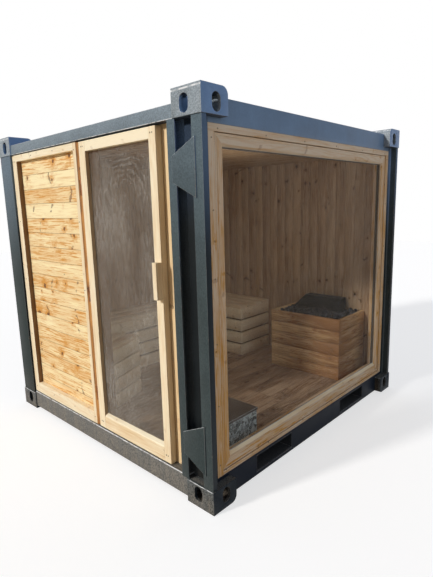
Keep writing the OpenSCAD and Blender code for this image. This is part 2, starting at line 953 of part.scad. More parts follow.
bottom_castings();
top_castings();
slotted_post();
slot_plates();
front_left_post();
rear_posts();
front_bottom_rail();
rear_bottom_rail();
left_bottom_rail();
right_bottom_rail();
front_top_rail();
rear_top_rail();
left_top_rail();
right_top_rail();
fork_tunnels();
floor_bearers();
floor_deck();
rear_wall();
left_wall();
roof_sheet();
ceiling_lining();
rear_lining();
left_lining();
front_lining();
panel_frame();
panel_boards();
hinge_jamb();
latch_jamb();
door_head();
threshold();
window_lining();
window_sash();
window_glass();
door_leaf();
door_glass();
door_handle();
hinge_straps();
hinge_plates();
left_bench();
rear_bench();
boarded_box();
stool();
heater();
stone_block();
block_lid();
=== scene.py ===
from math import cos, radians, sin, tau

import bmesh
import bpy
from mathutils import Matrix, Vector


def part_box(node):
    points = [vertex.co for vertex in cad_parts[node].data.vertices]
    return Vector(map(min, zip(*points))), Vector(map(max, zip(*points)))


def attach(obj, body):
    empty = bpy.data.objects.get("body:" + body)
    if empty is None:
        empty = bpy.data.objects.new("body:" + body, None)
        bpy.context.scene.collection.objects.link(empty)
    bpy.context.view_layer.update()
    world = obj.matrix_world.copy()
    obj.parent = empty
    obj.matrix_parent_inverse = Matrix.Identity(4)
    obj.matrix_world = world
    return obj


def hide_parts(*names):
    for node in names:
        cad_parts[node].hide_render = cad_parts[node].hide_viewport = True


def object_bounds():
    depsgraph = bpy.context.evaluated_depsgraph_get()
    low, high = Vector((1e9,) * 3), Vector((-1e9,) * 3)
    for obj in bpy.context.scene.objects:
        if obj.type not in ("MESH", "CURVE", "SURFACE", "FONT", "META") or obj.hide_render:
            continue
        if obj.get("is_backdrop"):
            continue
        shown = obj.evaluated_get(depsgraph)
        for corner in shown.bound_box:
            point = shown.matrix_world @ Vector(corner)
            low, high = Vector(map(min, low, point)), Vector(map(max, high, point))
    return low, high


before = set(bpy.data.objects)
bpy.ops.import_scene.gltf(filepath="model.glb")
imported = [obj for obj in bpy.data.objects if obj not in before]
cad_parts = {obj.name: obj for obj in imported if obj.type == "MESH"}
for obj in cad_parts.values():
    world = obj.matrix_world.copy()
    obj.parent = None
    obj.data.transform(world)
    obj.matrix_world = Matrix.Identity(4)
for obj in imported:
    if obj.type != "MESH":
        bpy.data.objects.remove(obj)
cad_low, cad_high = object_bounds()

# ---------------------------------------------------------------------------
# Viewpoint.
# A person stands off the front right corner, a little below the roof's
# height, and looks slightly down at the corner post.
# ---------------------------------------------------------------------------
heading = radians(43.4)
dip = radians(-10.39)
lean = radians(-1.61)
ahead = Vector((-sin(heading) * cos(dip), cos(heading) * cos(dip), sin(dip)))
level = Vector((cos(heading), sin(heading), 0.0))
rise = level.cross(ahead)
across = cos(lean) * level + sin(lean) * rise
upward = cos(lean) * rise - sin(lean) * level
eye = Matrix((across, upward, -ahead)).transposed().to_4x4()
eye.translation = Vector((2.305, -2.327, 1.425))
viewer = bpy.data.objects.new("viewer", bpy.data.cameras.new("viewer"))
viewer.data.sensor_width = 36.0
viewer.data.lens = 451.2 / 577 * 36.0
viewer.matrix_world = eye
bpy.context.collection.objects.link(viewer)
bpy.context.scene.camera = viewer
bpy.context.scene.view_settings.view_transform = "Standard"

# ---------------------------------------------------------------------------
# Studio.
# A pale floor, an even white surround, a low lamp in front of the door face, a
# weak broad one on the glazed face, and a weak round one inside the room.
# ---------------------------------------------------------------------------


def maths(operation):
    """One operation of the Math node, as a method of a wire."""
    def result(first, *others):
        return first.into("ShaderNodeMath", dict(enumerate(others, 1)), operation=operation)
    return result


class Wire:
    """One output of a node. Sums and products of wires add the nodes that work them out."""

    def __init__(self, node, key=0):
        self.node, self.key = node, key

    def __getitem__(self, key):
        return Wire(self.node, key)

    def into(self, kind, inputs=None, **settings):
        """A new node that takes this wire as its first input."""
        return put(self.node.id_data, kind, {0: self, **(inputs or {})}, **settings)

    __add__ = __radd__ = maths("ADD")
    __mul__ = __rmul__ = maths("MULTIPLY")
    __sub__ = maths("SUBTRACT")
    __truediv__ = maths("DIVIDE")
    __abs__ = maths("ABSOLUTE")
    __pow__ = maths("POWER")
    most = maths("MAXIMUM")
    least = maths("MINIMUM")
    sine = maths("SINE")
    exponent = maths("EXPONENT")
    fraction = maths("FRACT")


def put(tree, kind, inputs=None, **settings):
    """Adds a node. A socket's name or number is given a value or a wire."""
    made = tree.nodes.new(kind)
    for name, value in settings.items():
        setattr(made, name, value)
    for key, value in (inputs or {}).items():
        if isinstance(value, Wire):
            tree.links.new(value.node.outputs[value.key], made.inputs[key])
        else:
            made.inputs[key].default_value = value
    return Wire(made)


def slide(value, low, high, first=0.0, last=1.0, way="SMOOTHSTEP"):
    """Takes a value from one range to another and holds it at the ends."""
    return value.into("ShaderNodeMapRange", {1: low, 2: high, 3: first, 4: last},
                      interpolation_type=way)


def background_seen(tree):
    """1 for the rays that show the background itself, 0 for the rays that light things."""
    path = put(tree, "ShaderNodeLightPath")
    return path["Is Camera Ray"].most(path["Is Glossy Ray"].most(path["Is Transmission Ray"]))


def cleared(holder):
    """The empty node tree of a world or a material."""
    holder.use_nodes = True
    holder.node_tree.nodes.clear()
    return holder.node_tree


surround = bpy.data.worlds.new("surround")
tree = cleared(surround)
behind = put(tree, "ShaderNodeTexCoord")["Generated"].into(
    "ShaderNodeVectorMath", {1: (-0.7, 0.7, 0.1)}, operation="DOT_PRODUCT")["Value"]
fill = put(tree, "ShaderNodeBackground", {"Color": (0.84, 0.88, 1.0, 1.0),
                                          "Strength": slide(behind, 0.0, 0.9, 0.17, 0.75)})
plain = put(tree, "ShaderNodeBackground", {"Color": (1.0, 1.0, 1.0, 1.0), "Strength": 1.0})
both = put(tree, "ShaderNodeMixShader", {0: background_seen(tree), 1: fill, 2: plain})
put(tree, "ShaderNodeOutputWorld", {"Surface": both})
bpy.context.scene.world = surround


def lamp(name, kind, energy, tint, **settings):
    made = bpy.data.objects.new(name, bpy.data.lights.new(name, kind))
    made.data.energy = energy
    made.data.color = tint
    for key, value in settings.items():
        setattr(made.data, key, value)
    bpy.context.collection.objects.link(made)
    return made


for name, energy, breadth, tint, origin in (
        ("front lamp", 2.65, 6.0, (1.0, 0.97, 0.92), (-0.28, -0.86, 0.45)),
        ("side lamp", 0.42, 70.0, (0.92, 0.95, 1.0), (0.94, -0.10, 0.30))):
    sun = lamp(name, "SUN", energy, tint, angle=radians(breadth))
    sun.rotation_mode = "QUATERNION"
    sun.rotation_quaternion = Vector(origin).to_track_quat("Z", "Y")
lamp("room lamp", "POINT", 4.0, (1.0, 0.93, 0.84), shadow_soft_size=0.3).location = (
    0.42, -0.25, 1.40)

ground = bpy.data.meshes.new("floor")
ground.from_pydata([(-14, -14, -0.001), (14, -14, -0.001), (14, 14, -0.001), (-14, 14, -0.001)],
                   [], [(0, 1, 2, 3)])
floor = bpy.data.objects.new("floor", ground)
bpy.context.collection.objects.link(floor)
pale = bpy.data.materials.new("pale floor")
tree = cleared(pale)
warm = put(tree, "ShaderNodeBsdfDiffuse", {"Color": (0.50, 0.38, 0.24, 1.0)})
matt = put(tree, "ShaderNodeBsdfDiffuse", {"Color": (0.50, 0.50, 0.50, 1.0)})
glow = put(tree, "ShaderNodeEmission", {"Color": (1.0, 1.0, 1.0, 1.0), "Strength": 0.64})
white = put(tree, "ShaderNodeAddShader", {0: matt, 1: glow})
both = put(tree, "ShaderNodeMixShader", {0: background_seen(tree), 1: warm, 2: white})
put(tree, "ShaderNodeOutputMaterial", {"Surface": both})
ground.materials.append(pale)
floor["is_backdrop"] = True

# ---------------------------------------------------------------------------
# Corner castings.
# Eight hollow steel castings with hooked-out holes, painted slate grey. The
# cast edges are round, and the paint is chipped and rusty along them.
# ---------------------------------------------------------------------------


def chart(red, green, blue):
    """A colour as a paint chart gives it, 0 to 255, turned into light."""
    tones = (c / 255.0 for c in (red, green, blue))
    return (*(c / 12.92 if c < 0.04 else ((c + 0.055) / 1.055) ** 2.4 for c in tones), 1.0)


def tree_of(*values):
    """The tree that the first wire among some values belongs to."""
    return next(value.node.id_data for value in values if isinstance(value, Wire))


def mingle(share, a, b, how="MIX"):
    """Two colours mixed; a share of 1 is all of the second."""
    return put(tree_of(share, a, b), "ShaderNodeMix", {0: share, 6: a, 7: b}, data_type="RGBA",
               blend_type=how)[2]


def stretched(place, sizes):
    return place.into("ShaderNodeMapping", {"Scale": sizes})


def speckle(place, scale, detail=3.0, rough=0.55):
    return place.into("ShaderNodeTexNoise", {"Scale": scale, "Detail": detail,
                                             "Roughness": rough})


def split(place):
    parts = place.into("ShaderNodeSeparateXYZ")
    return parts[0], parts[1], parts[2]


def new_tree(name, inputs, family="Shader"):
    """A node tree and the node that brings its named inputs in. They are listed by kind,
    with the value that each one has when no other is given."""
    tree = bpy.data.node_groups.new(name, family + "NodeTree")
    for kind, labels in inputs.items():
        for label in labels:
            made = tree.interface.new_socket(label, in_out="INPUT",
                                             socket_type="NodeSocket" + kind)
            if isinstance(labels, dict):
                made.default_value = labels[label]
    return tree, Wire(tree.nodes.new("NodeGroupInput"))


def give(group, **outputs):
    """Makes a group's outputs and joins a wire to each."""
    for label in outputs:
        kind = "NodeSocketColor" if label == "Color" else "NodeSocketFloat"
        group.interface.new_socket(label, in_out="OUTPUT", socket_type=kind)
    put(group, "NodeGroupOutput", outputs)


# This group paints wear, dust and rust, and also painted light: a painted sky reflection that grows
# with height, painted shade on faces towards +X, in recesses, insides and undersides, and painted
# highlights on edges and in a band.
worn_paint_and_light, g = new_tree("worn paint and painted light", {
    "Vector": ("Place", "Facing"),
    "Color": ("High Paint", "Low Paint", "Side Paint", "Recess", "Dust"),
    "Float": ("Edge", "Dust Height", "Dust Amount", "Rust", "Grain", "Rubbed", "Shade Recesses",
              "Hollow", "Crown", "Crown Width")})
place = g["Place"]
x, y, height = split(place)
out_x, out_y = abs(x), abs(y)
facing_x, facing_y, facing_z = split(g["Facing"])
glazed_side = slide(facing_x, 0.4, 0.8)
# Lighter towards the top: a painted sky reflection.
paint = mingle(slide(height, 0.9, 1.9), g["Low Paint"], g["High Paint"])
# Faces turned towards +X take a bluer colour, going over to the given side colour higher up: a
# painted shade and sky reflection.
sky_shaded_side = mingle(1.0, g["Low Paint"], chart(172, 178, 194), "MULTIPLY")
sky_shaded_side = mingle(slide(height, 1.15, 1.75), sky_shaded_side, g["Side Paint"])
paint = mingle(glazed_side, paint, sky_shaded_side)
# Hidden faces of the post's return on the +X side take the recess colour: a painted shade.
reach = (out_x + 0.005).most(out_y)
hidden = slide(reach, 0.9846, 0.9836) * slide(out_y, 0.936, 0.944) * g["Shade Recesses"]
shadow = mingle(slide(height, 1.0, 1.7), chart(88, 98, 102), g["Recess"])
paint = mingle(hidden * glazed_side, paint, shadow)
# The back of the post's slot is painted lighter where the front lamp's shadow falls and darker where
# that lamp lights it: painted shade and light.
back = slide(out_y, 0.936, 0.938) * slide(out_y, 0.950, 0.946) * slide(facing_y, -0.5, -0.8)
upper = slide(height, 1.3, 1.7)
deep_shade = mingle(upper, chart(76, 84, 89), chart(112, 140, 176))
sunlit_darkened = mingle(upper, chart(27, 31, 33), chart(45, 58, 76))
bottom_of_slot = mingle(slide(out_x, 0.826, 0.834), deep_shade, sunlit_darkened)
paint = mingle(back * g["Shade Recesses"], paint, bottom_of_slot)
# The insides of the castings are painted near black: a painted shade.
inside = slide(out_x, 0.972, 0.968) * slide(out_y, 0.976, 0.972) * slide(height, 0.112, 0.108)
paint = mingle(inside * g["Hollow"], paint, chart(14, 17, 20))
# Faces turned down are painted dark blue: a painted shade.
underside_shade = slide(facing_z, -0.5, -0.9)
paint = mingle(underside_shade * 0.85, paint, chart(34, 44, 62))
mottle = speckle(place, 6.0, 5.0, 0.62)
runs = speckle(stretched(place, (34.0, 34.0, 2.0)), 1.0, 5.0, 0.6)
grit = speckle(place, 170.0, 3.0, 0.7)
paint = mingle(0.30, paint, mottle, "OVERLAY")
grainy = g["Grain"] * slide(glazed_side, 0.0, 1.0, 1.0, 0.2)
paint = mingle(grainy, paint, slide(grit, 0.28, 0.72), "OVERLAY")
splashed = slide(height, g["Dust Height"], g["Dust Height"] * 0.15)
shelf = slide(facing_z, 0.5, 0.9) * slide(out_y, 0.945, 0.955, 0.12, 1.0)
settled = (splashed * slide(glazed_side, 0.0, 1.0, 1.0, 0.05)).most(shelf) * g["Dust Amount"]
settled = settled * slide(runs, 0.32, 0.68, 0.62, 1.0) * slide(grit, 0.36, 0.60, 0.20, 1.0)
paint = mingle(settled, paint, g["Dust"])
chips = speckle(place, 58.0, 6.0, 0.72)
patches = slide(speckle(place, 4.1, 2.0), 0.42, 0.62)
bare = slide(chips, 0.54, 0.60) * g["Edge"] * (patches + 0.35)
rusty = ((slide(chips, 0.67, 0.72) * patches + bare) * g["Rust"]).least(1.0)
# Edges turned up, less on faces towards +X, are painted bright: wear and a painted highlight.
edge_glint_and_wear = g["Edge"] * slide(runs, 0.30, 0.55, 0.3, 1.0) * slide(facing_z, 0.1, 0.5, 0.30, 1.0)
edge_glint_and_wear = edge_glint_and_wear * g["Rubbed"] * slide(glazed_side, 0.0, 1.0, 1.0, 0.3)
# A bright band at a given height on faces towards -Y: a painted highlight, on the rail under the
# door also wear.
band = slide(abs(height - g["Crown"]) / g["Crown Width"], 1.0, 0.7)
band = band * slide(facing_y, -0.3, -0.7) * slide(runs, 0.38, 0.52, 0.15, 1.0)
paint = mingle(edge_glint_and_wear.most(band).least(1.0), paint, chart(222, 226, 230))
crust = mingle(slide(grit, 0.4, 0.6), chart(112, 66, 38), chart(186, 168, 150))
gloss = rusty * 0.3 + settled * 0.3 + slide(mottle, 0.3, 0.7, 0.36, 0.50)
peel = speckle(place, 420.0, 1.0) * 0.2 + mottle + grit * g["Grain"] * 1.6 + rusty * -0.5
give(worn_paint_and_light, Color=mingle(rusty, paint, crust), Roughness=gloss, Height=peel)


def dressed(name, group, values, bump, **shader):
    """A material whose colour, roughness and relief come from one group. Its place, its
    grain's direction and the marks on the mesh are joined to the inputs of those names."""
    made = bpy.data.materials.new(name)
    made.use_nodes = True
    tree = made.node_tree
    surface = tree.nodes["Principled BSDF"]
    effect = put(tree, "ShaderNodeGroup", node_tree=group).node
    for socket in effect.inputs:
        if socket.name in ("Place", "Facing"):
            output = "Object" if socket.name == "Place" else "Normal"
            source = put(tree, "ShaderNodeTexCoord").node.outputs[output]
            tree.links.new(source, socket)
        elif socket.name == "Along":
            tree.links.new(put(tree, "ShaderNodeUVMap", uv_map="UVMap").node.outputs[0], socket)
        elif socket.name in ("Edge", "Tone", "Tan"):
            mark = put(tree, "ShaderNodeAttribute", attribute_name=socket.name.lower()).node
            tree.links.new(mark.outputs["Fac"], socket)
        elif socket.name in values:
            value = values[socket.name]
            socket.default_value = chart(*value) if socket.type == "RGBA" else value
    for output, key in (("Color", "Base Color"), ("Roughness", "Roughness"), ("Alpha", "Alpha")):
        if output in effect.outputs:
            tree.links.new(effect.outputs[output], surface.inputs[key])
    relief = put(tree, "ShaderNodeBump", {"Strength": bump[0], "Distance": bump[1],
                                          "Height": Wire(effect, "Height")}).node
    tree.links.new(relief.outputs[0], surface.inputs["Normal"])
    for key, value in shader.items():
        surface.inputs[key.replace("_", " ")].default_value = value
    return made


def steel(name, high, low, shine=0.2, **wear):
    """Painted steel: its colour under the roof and at the ground, and how worn it is. The change
    from the low colour to the high one is a painted sky reflection. The colour given for the
    high faces that look towards +X is a painted shade and sky reflection, the recess colour, for
    hidden faces there, is a painted shade, and the band's height gives a band painted bright: a
    painted highlight, and on the rail under the door also wear from shoes."""
    values = {"High Paint": high, "Low Paint": low, "Side Paint": high, "Recess": low,
              "Dust": (112, 104, 94), "Dust Height": 0.3, "Dust Amount": 0.5, "Rust": 0.5,
              "Grain": 0.25, "Rubbed": 0.5, "Shade Recesses": float("recess" in wear),
              "Hollow": 0.0, "Crown": -1.0, "Crown Width": 0.004}
    values.update((key.replace("_", " ").title(), value) for key, value in wear.items())
    return dressed(name, worn_paint_and_light, values, (0.3, 0.0016), Specular_IOR_Level=shine)


def settled_piece(name, mesh, finish, slot, *nodes, body="cabin"):
    """Puts a finished mesh on its body and hides the CAD parts that it stands for."""
    piece = bpy.data.objects.new(name, mesh)
    bpy.context.collection.objects.link(piece)
    mesh.materials.clear()
    mesh.materials.append(finish)
    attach(piece, body)
    if nodes:
        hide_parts(*nodes)


def evaluated(source):
    """The mesh that an object's modifiers give, with the object itself thrown away."""
    bpy.context.view_layer.update()
    shape = bpy.data.meshes.new_from_object(
        source.evaluated_get(bpy.context.evaluated_depsgraph_get()))
    bpy.data.objects.remove(source)
    return shape


def with_modifier(mesh, kind, **settings):
    """An object of its own for a mesh, with one modifier on it."""
    source = bpy.data.objects.new(mesh.name, mesh)
    bpy.context.collection.objects.link(source)
    modifier = source.modifiers.new(kind, kind)
    for key, value in settings.items():
        setattr(modifier, key, value)
    return source


def rounded(node, radius, steps=2):
    """A copy of a CAD solid with its edges rounded; the rounded strips are marked as edge."""
    shape = bmesh.new()
    shape.from_mesh(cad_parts[node].data)
    bmesh.ops.remove_doubles(shape, verts=shape.verts, dist=2e-5)
    bmesh.ops.dissolve_limit(shape, angle_limit=radians(0.6), verts=shape.verts,
                             edges=shape.edges)
    mesh = bpy.data.meshes.new(node + " rounded")
    shape.to_mesh(mesh)
    shape.free()
    mesh.materials.clear()
    for slot in range(2):
        mesh.materials.append(None)
    for face in mesh.polygons:
        face.material_index = 0
        face.use_smooth = True
    mesh = evaluated(with_modifier(mesh, "BEVEL", width=radius, segments=steps, material=1,
                                   limit_method="ANGLE", angle_limit=radians(38),
                                   harden_normals=True))
    mark = mesh.attributes.new("edge", "FLOAT", "FACE")
    mark.data.foreach_set("value", [float(f.material_index == 1) for f in mesh.polygons])
    for face in mesh.polygons:
        face.material_index = 0
    return mesh


# The castings' insides are painted near black, a painted shade. Their edges and a band near their
# top are painted bright, wear and a painted highlight, and the high ones' faces towards +X take a
# bluer colour, a painted shade and sky reflection.
low_cast_paint = steel("low casting paint", (60, 72, 78), (60, 72, 78), 0.06,
                       dust=(160, 147, 132), dust_height=0.20, dust_amount=0.55, rust=1.6,
                       grain=0.8, rubbed=1.0, hollow=1.0, crown=0.1165, crown_width=0.0026)
high_cast_paint = steel("high casting paint", (138, 149, 158), (90, 98, 104), 0.25,
                        dust_height=0.1, dust_amount=0.25, grain=0.36, rubbed=1.6,
                        side_paint=(119, 157, 210), crown=1.899)
settled_piece("castings_bottom", rounded("bottom_castings", 0.005, 3), low_cast_paint,
              "casting_paint", "bottom_castings")
settled_piece("castings_top", rounded("top_castings", 0.005, 3), high_cast_paint,
              "casting_paint", "top_castings")

# ---------------------------------------------------------------------------
# Corner posts.
# Bent from 6 mm plate and welded between the castings. The near one has a
# long slot, half closed by two slanted plates whose cut edges are bright: wear
# and a painted highlight.
# ---------------------------------------------------------------------------
# The slotted post's hidden faces on the +X side take the recess colour, and its high faces towards
# +X a bluer one: painted shade and sky reflection.
post_paint = steel("post paint", (88, 103, 112), (62, 72, 74), 0.08, dust_height=0.25,
                   dust_amount=0.25, rust=0.4, side_paint=(94, 119, 152),
                   recess=(128, 156, 200))
left_post_paint = steel("left post paint", (94, 110, 124), (44, 53, 52), 0.08,
                        dust_height=0.35, dust_amount=0.35, rust=0.4)
for node, finish in (("slotted_post", post_paint), ("front_left_post", left_post_paint),
                     ("rear_posts", post_paint)):
    settled_piece(node.replace("post", "post_shell"), rounded(node, 0.0022), finish,
                  "steel_paint", node)
plate_paint = steel("plate paint", (88, 102, 111), (52, 62, 63), 0.1, dust_height=0.2,
                    dust_amount=0.2, rust=0.6, rubbed=1.3)
settled_piece("slot_plate_pair", rounded("slot_plates", 0.0011), plate_paint, "steel_paint",
              "slot_plates")

# ---------------------------------------------------------------------------
# Rails.
# Square tubes between the castings. The low ones have been splashed with mud,
# and the one under the door is trodden bare along its top edge, where a painted
# highlight runs too.
# ---------------------------------------------------------------------------
low_side_paint = steel("low side rail paint", (46, 56, 68), (48, 56, 66), 0.05,
                       dust_height=0.14, dust_amount=0.2, rust=0.4)
# The high side rails' faces towards +X take a bluer colour: a painted shade and sky reflection.
high_side_paint = steel("high side rail paint", (96, 110, 122), (92, 104, 114),
                        dust_height=0.14, dust_amount=0.3, side_paint=(117, 147, 185))
# The high end rails carry a bright band painted on their face: a painted highlight.
high_end_paint = steel("high end rail paint", (118, 132, 143), (108, 121, 131),
                       dust_height=0.1, dust_amount=0.4, grain=0.3, crown=1.793,
                       crown_width=0.003)
trodden_paint = steel("low end rail paint", (92, 99, 104), (82, 90, 95), 0.1,
                      dust=(158, 147, 132), dust_height=0.34, dust_amount=0.66, rust=1.2,
                      grain=0.6, rubbed=1.6, crown=0.1295, crown_width=0.0028)
for ends, level_name, finish in ((("front", "rear"), "bottom", trodden_paint),
                                 (("front", "rear"), "top", high_end_paint),
                                 (("left", "right"), "bottom", low_side_paint),
                                 (("left", "right"), "top", high_side_paint)):
    for end in ends:
        node = f"{end}_{level_name}_rail"
        slot = "dusty_paint" if node == "front_bottom_rail" else "steel_paint"
        settled_piece(node + "_tube", rounded(node, 0.004, 3), finish, slot, node)

# ---------------------------------------------------------------------------
# Fork tunnels and floor bearers.
# Dark painted plate under the floor, its edges painted faintly bright: scratches
# from the fork tines and a painted highlight.
# ---------------------------------------------------------------------------
under_paint = steel("underfloor paint", (54, 62, 72), (48, 54, 60), 0.05, dust_height=0.12,
                    dust_amount=0.3, rust=0.8, rubbed=0.2)
settled_piece("fork_tunnel_pair", rounded("fork_tunnels", 0.0018), under_paint,
              "tunnel_paint", "fork_tunnels")
settled_piece("bearer_set", rounded("floor_bearers", 0.003), under_paint, "tunnel_paint",
              "floor_bearers")

# ---------------------------------------------------------------------------
# Corrugated walls and roof.
# Thin steel sheet pressed into flutes, welded inside the frame of rails and
# posts. The roof has low ribs between flat bands.
# ---------------------------------------------------------------------------
X, Y, Z = (1, 0, 0), (0, 1, 0), (0, 0, 1)


def point(x=0.0, y=0.0, z=0.0):
    return put(tree_of(x, y, z), "ShaderNodeCombineXYZ", {0: x, 1: y, 2: z})


def coated(shape, given):
    """Ends a tree with real geometry in the material that is given as its Finish."""
    single = shape.into("GeometryNodeRealizeInstances")
    painted = single.into("GeometryNodeSetMaterial", {"Material": given["Finish"]})
    tree = tree_of(shape)
    tree.interface.new_socket("Geometry", in_out="OUTPUT", socket_type="NodeSocketGeometry")
    put(tree, "NodeGroupOutput", {0: painted})


def patterned(tree, values, base=None):
    """Runs a tree once and returns a plain mesh."""
    source = base or bpy.data.objects.new("pattern", bpy.data.meshes.new("pattern"))
    bpy.context.collection.objects.link(source)
    pattern = source.modifiers.new("pattern", "NODES")
    pattern.node_group = tree
    for item in tree.interface.items_tree:
        if item.in_out == "INPUT" and item.name in values:
            pattern[item.identifier] = values[item.name]
    return evaluated(source)


def turned(first, second):
    """Euler turn that lays local X along first and local Y along second."""
    first, second = Vector(first), Vector(second)
    return Matrix((first, second, first.cross(second))).transposed().to_euler()


fluted, g = new_tree("fluted sheet", {
    "Float": {"Length": 1.0, "Height": 1.0, "Depth": 0.03, "Flat": 0.24, "Slope End": 0.72},
    "Int": {"Flutes": 6}, "Rotation": ("Turn",), "Vector": ("Place",),
    "Material": ("Finish",)}, "Geometry")
sheet = put(fluted, "GeometryNodeMeshGrid", {
    "Size X": g["Length"], "Size Y": g["Height"], "Vertices X": g["Flutes"] * 28.0 + 1.0,
    "Vertices Y": 9})
share = split(put(fluted, "GeometryNodeInputPosition"))[0] / g["Length"]
share = abs(((share + 0.5) * g["Flutes"]).fraction() - 0.5)
bend = slide(share * 2.0, g["Flat"], g["Slope End"], 1.0, 0.0)
waved = sheet.into("GeometryNodeSetPosition", {"Offset": point(z=bend * g["Depth"])})
smooth = waved.into("GeometryNodeSetShadeSmooth")
coated(smooth.into("GeometryNodeTransform", {"Translation": g["Place"], "Rotation": g["Turn"]}), g)

wall_paint = steel("wall paint", (84, 98, 108), (54, 64, 70), dust_height=0.7, dust_amount=0.4,
                   rust=0.4)
roof_paint = steel("roof paint", (92, 104, 114), (70, 78, 86), dust=(134, 128, 118),
                   dust_height=2.4, rust=1.0)
for node in ("rear_wall", "left_wall"):
    low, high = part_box(node)
    middle = (low.z + high.z) / 2
    if node == "rear_wall":
        length, along, place = high.x - low.x, (-1, 0, 0), (0.0, high.y, middle)
    else:
        length, along, place = high.y - low.y, (0, -1, 0), (low.x, 0.0, middle)
    mesh = patterned(fluted, {"Length": length, "Height": high.z - low.z, "Depth": -0.028,
                              "Finish": wall_paint, "Turn": turned(along, Z), "Place": place})
    mesh = evaluated(with_modifier(mesh, "SOLIDIFY", thickness=0.002, offset=-1.0))
    settled_piece(node + "_sheet", mesh, wall_paint, "steel_paint", node)
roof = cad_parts["roof_sheet"]
roof.data.materials.clear()
roof.data.materials.append(roof_paint)

# ---------------------------------------------------------------------------
# Weld beads.
# Rippled beads run round each post where it meets its castings, along the
# rails' ends and round the slot plates. They are painted over.
# ---------------------------------------------------------------------------
bead, g = new_tree("weld bead", {"Geometry": ("Path",), "Float": {"Thickness": 0.003},
                                 "Material": ("Finish",)}, "Geometry")
line = g["Path"].into("GeometryNodeResampleCurve", {"Length": 0.005}, mode="LENGTH")
wave = put(bead, "ShaderNodeTexNoise", {"Scale": 160.0, "Detail": 1.0})
girth = g["Thickness"] * (wave * 0.9 + 0.4)
ring = put(bead, "GeometryNodeCurvePrimitiveCircle", {"Resolution": 6, "Radius": 1.0})
swollen = line.into("GeometryNodeSetCurveRadius", {"Radius": girth})
tube = swollen.into("GeometryNodeCurveToMesh", {"Profile Curve": ring, "Scale": girth,
                                                "Fill Caps": True})
coated(tube.into("GeometryNodeSetShadeSmooth"), g)

box_x, box_y = cad_high.x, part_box("top_castings")[1].y
post_low, post_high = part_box("rear_posts")[0].z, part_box("rear_posts")[1].z
paths = []
for sx in (-1, 1):
    for sy in (-1, 1):
        wide = 0.176 if (sx, sy) == (1, -1) else 0.160
        runs = [[(wide, 0.005, z), (0.005, 0.005, z), (0.005, 0.031, z)]
                for z in (post_low, post_high)]
        for dx, dy, foot, top, reach in ((0.178, 0.007, 0.020, 0.116, 0.060),
                                         (0.043, 0.162, 0.012, 0.117, 0.080)):
            runs.append([(dx, dy, foot), (dx, dy, top)])
            runs.append([(dx, dy, post_high + 0.002), (dx, dy, post_high + reach)])
        paths += [[(sx * (box_x - dx), sy * (box_y - dy), z) for dx, dy, z in run] for run in runs]
low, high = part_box("slot_plates")
plate_tall, y = 0.247, high.y - 0.001
for foot in (low.z, high.z - plate_tall):
    for x, cut in ((high.x, 0.0), (low.x, 0.070)):
        paths.append([(x, y, foot + cut), (x, y, foot + plate_tall - cut)])

seams = bpy.data.curves.new("seams", "CURVE")
seams.dimensions = "3D"
for ends in paths:
    spline = seams.splines.new("POLY")
    spline.points.add(len(ends) - 1)
    for place, end in zip(spline.points, ends):
        place.co = (*end, 1.0)
mesh = patterned(bead, {"Thickness": 0.0032, "Finish": post_paint},
                 bpy.data.objects.new("seams", seams))
settled_piece("weld_beads", mesh, post_paint, "steel_paint")

# ---------------------------------------------------------------------------
# Boarded panel.
# Seventeen tongued pine boards lie 30 mm back in a planed frame. The boards
# differ much in tone, with dark knots and resin round them.
# ---------------------------------------------------------------------------
pine_grain, g = new_tree("pine grain", {
    "Vector": ("Along",), "Color": ("Pale", "Deep", "Knot"),
    "Float": ("Tone", "Tan", "Edge", "Figure", "Streaks", "Knots", "Knot Size", "Soiling")})
along, beside, _ = split(g["Along"])
layer = g["Tone"] * 41.0
spot = point(along, beside, layer)


def fibres(lengthwise, crosswise, through=1.0, detail=2.0, rough=0.55):
    """Noise drawn out along the grain."""
    return speckle(stretched(spot, (lengthwise, crosswise, through)), 1.0, detail, rough)


bent = fibres(40.0, 40.0)
blur = fibres(30.0, 60.0)
fibre = fibres(9.0, 430.0)
broad = fibres(3.4, 26.0, 1.3, 4.0, 0.62)
streak = slide(fibres(7.0, 130.0, 2.1, 3.0, 0.65), 0.50, 0.66)
shifted = point(layer * 0.37 + (bent * 0.010 + along), layer * 0.19 + beside)
knots = shifted.into("ShaderNodeTexVoronoi", {"Scale": 5.6}, voronoi_dimensions="2D")
fate = knots["Color"].into("ShaderNodeSeparateColor")
chosen = slide(fate[0], 0.44, 0.46) * g["Knots"]
girth = slide(fate[1], 0.0, 1.0, 0.45, 1.3, "LINEAR") * g["Knot Size"]
near = knots["Distance"] / 5.6 / girth * slide(blur, 0.25, 0.75, 0.6, 1.6)
core = slide(near, 1.15, 0.75) * chosen
heart = slide(near, 0.55, 0.3) * chosen
swirl = ((near * 0.36) ** 2.0 * -1.0).exponent() * chosen
phase = beside * 64.0 + fibres(1.1, 7.0, 1.0, 1.0) * 11.0 + layer + swirl * 2.8
rings = ((phase * tau).sine() * 0.5 + 0.5) ** 2.0 * g["Figure"]
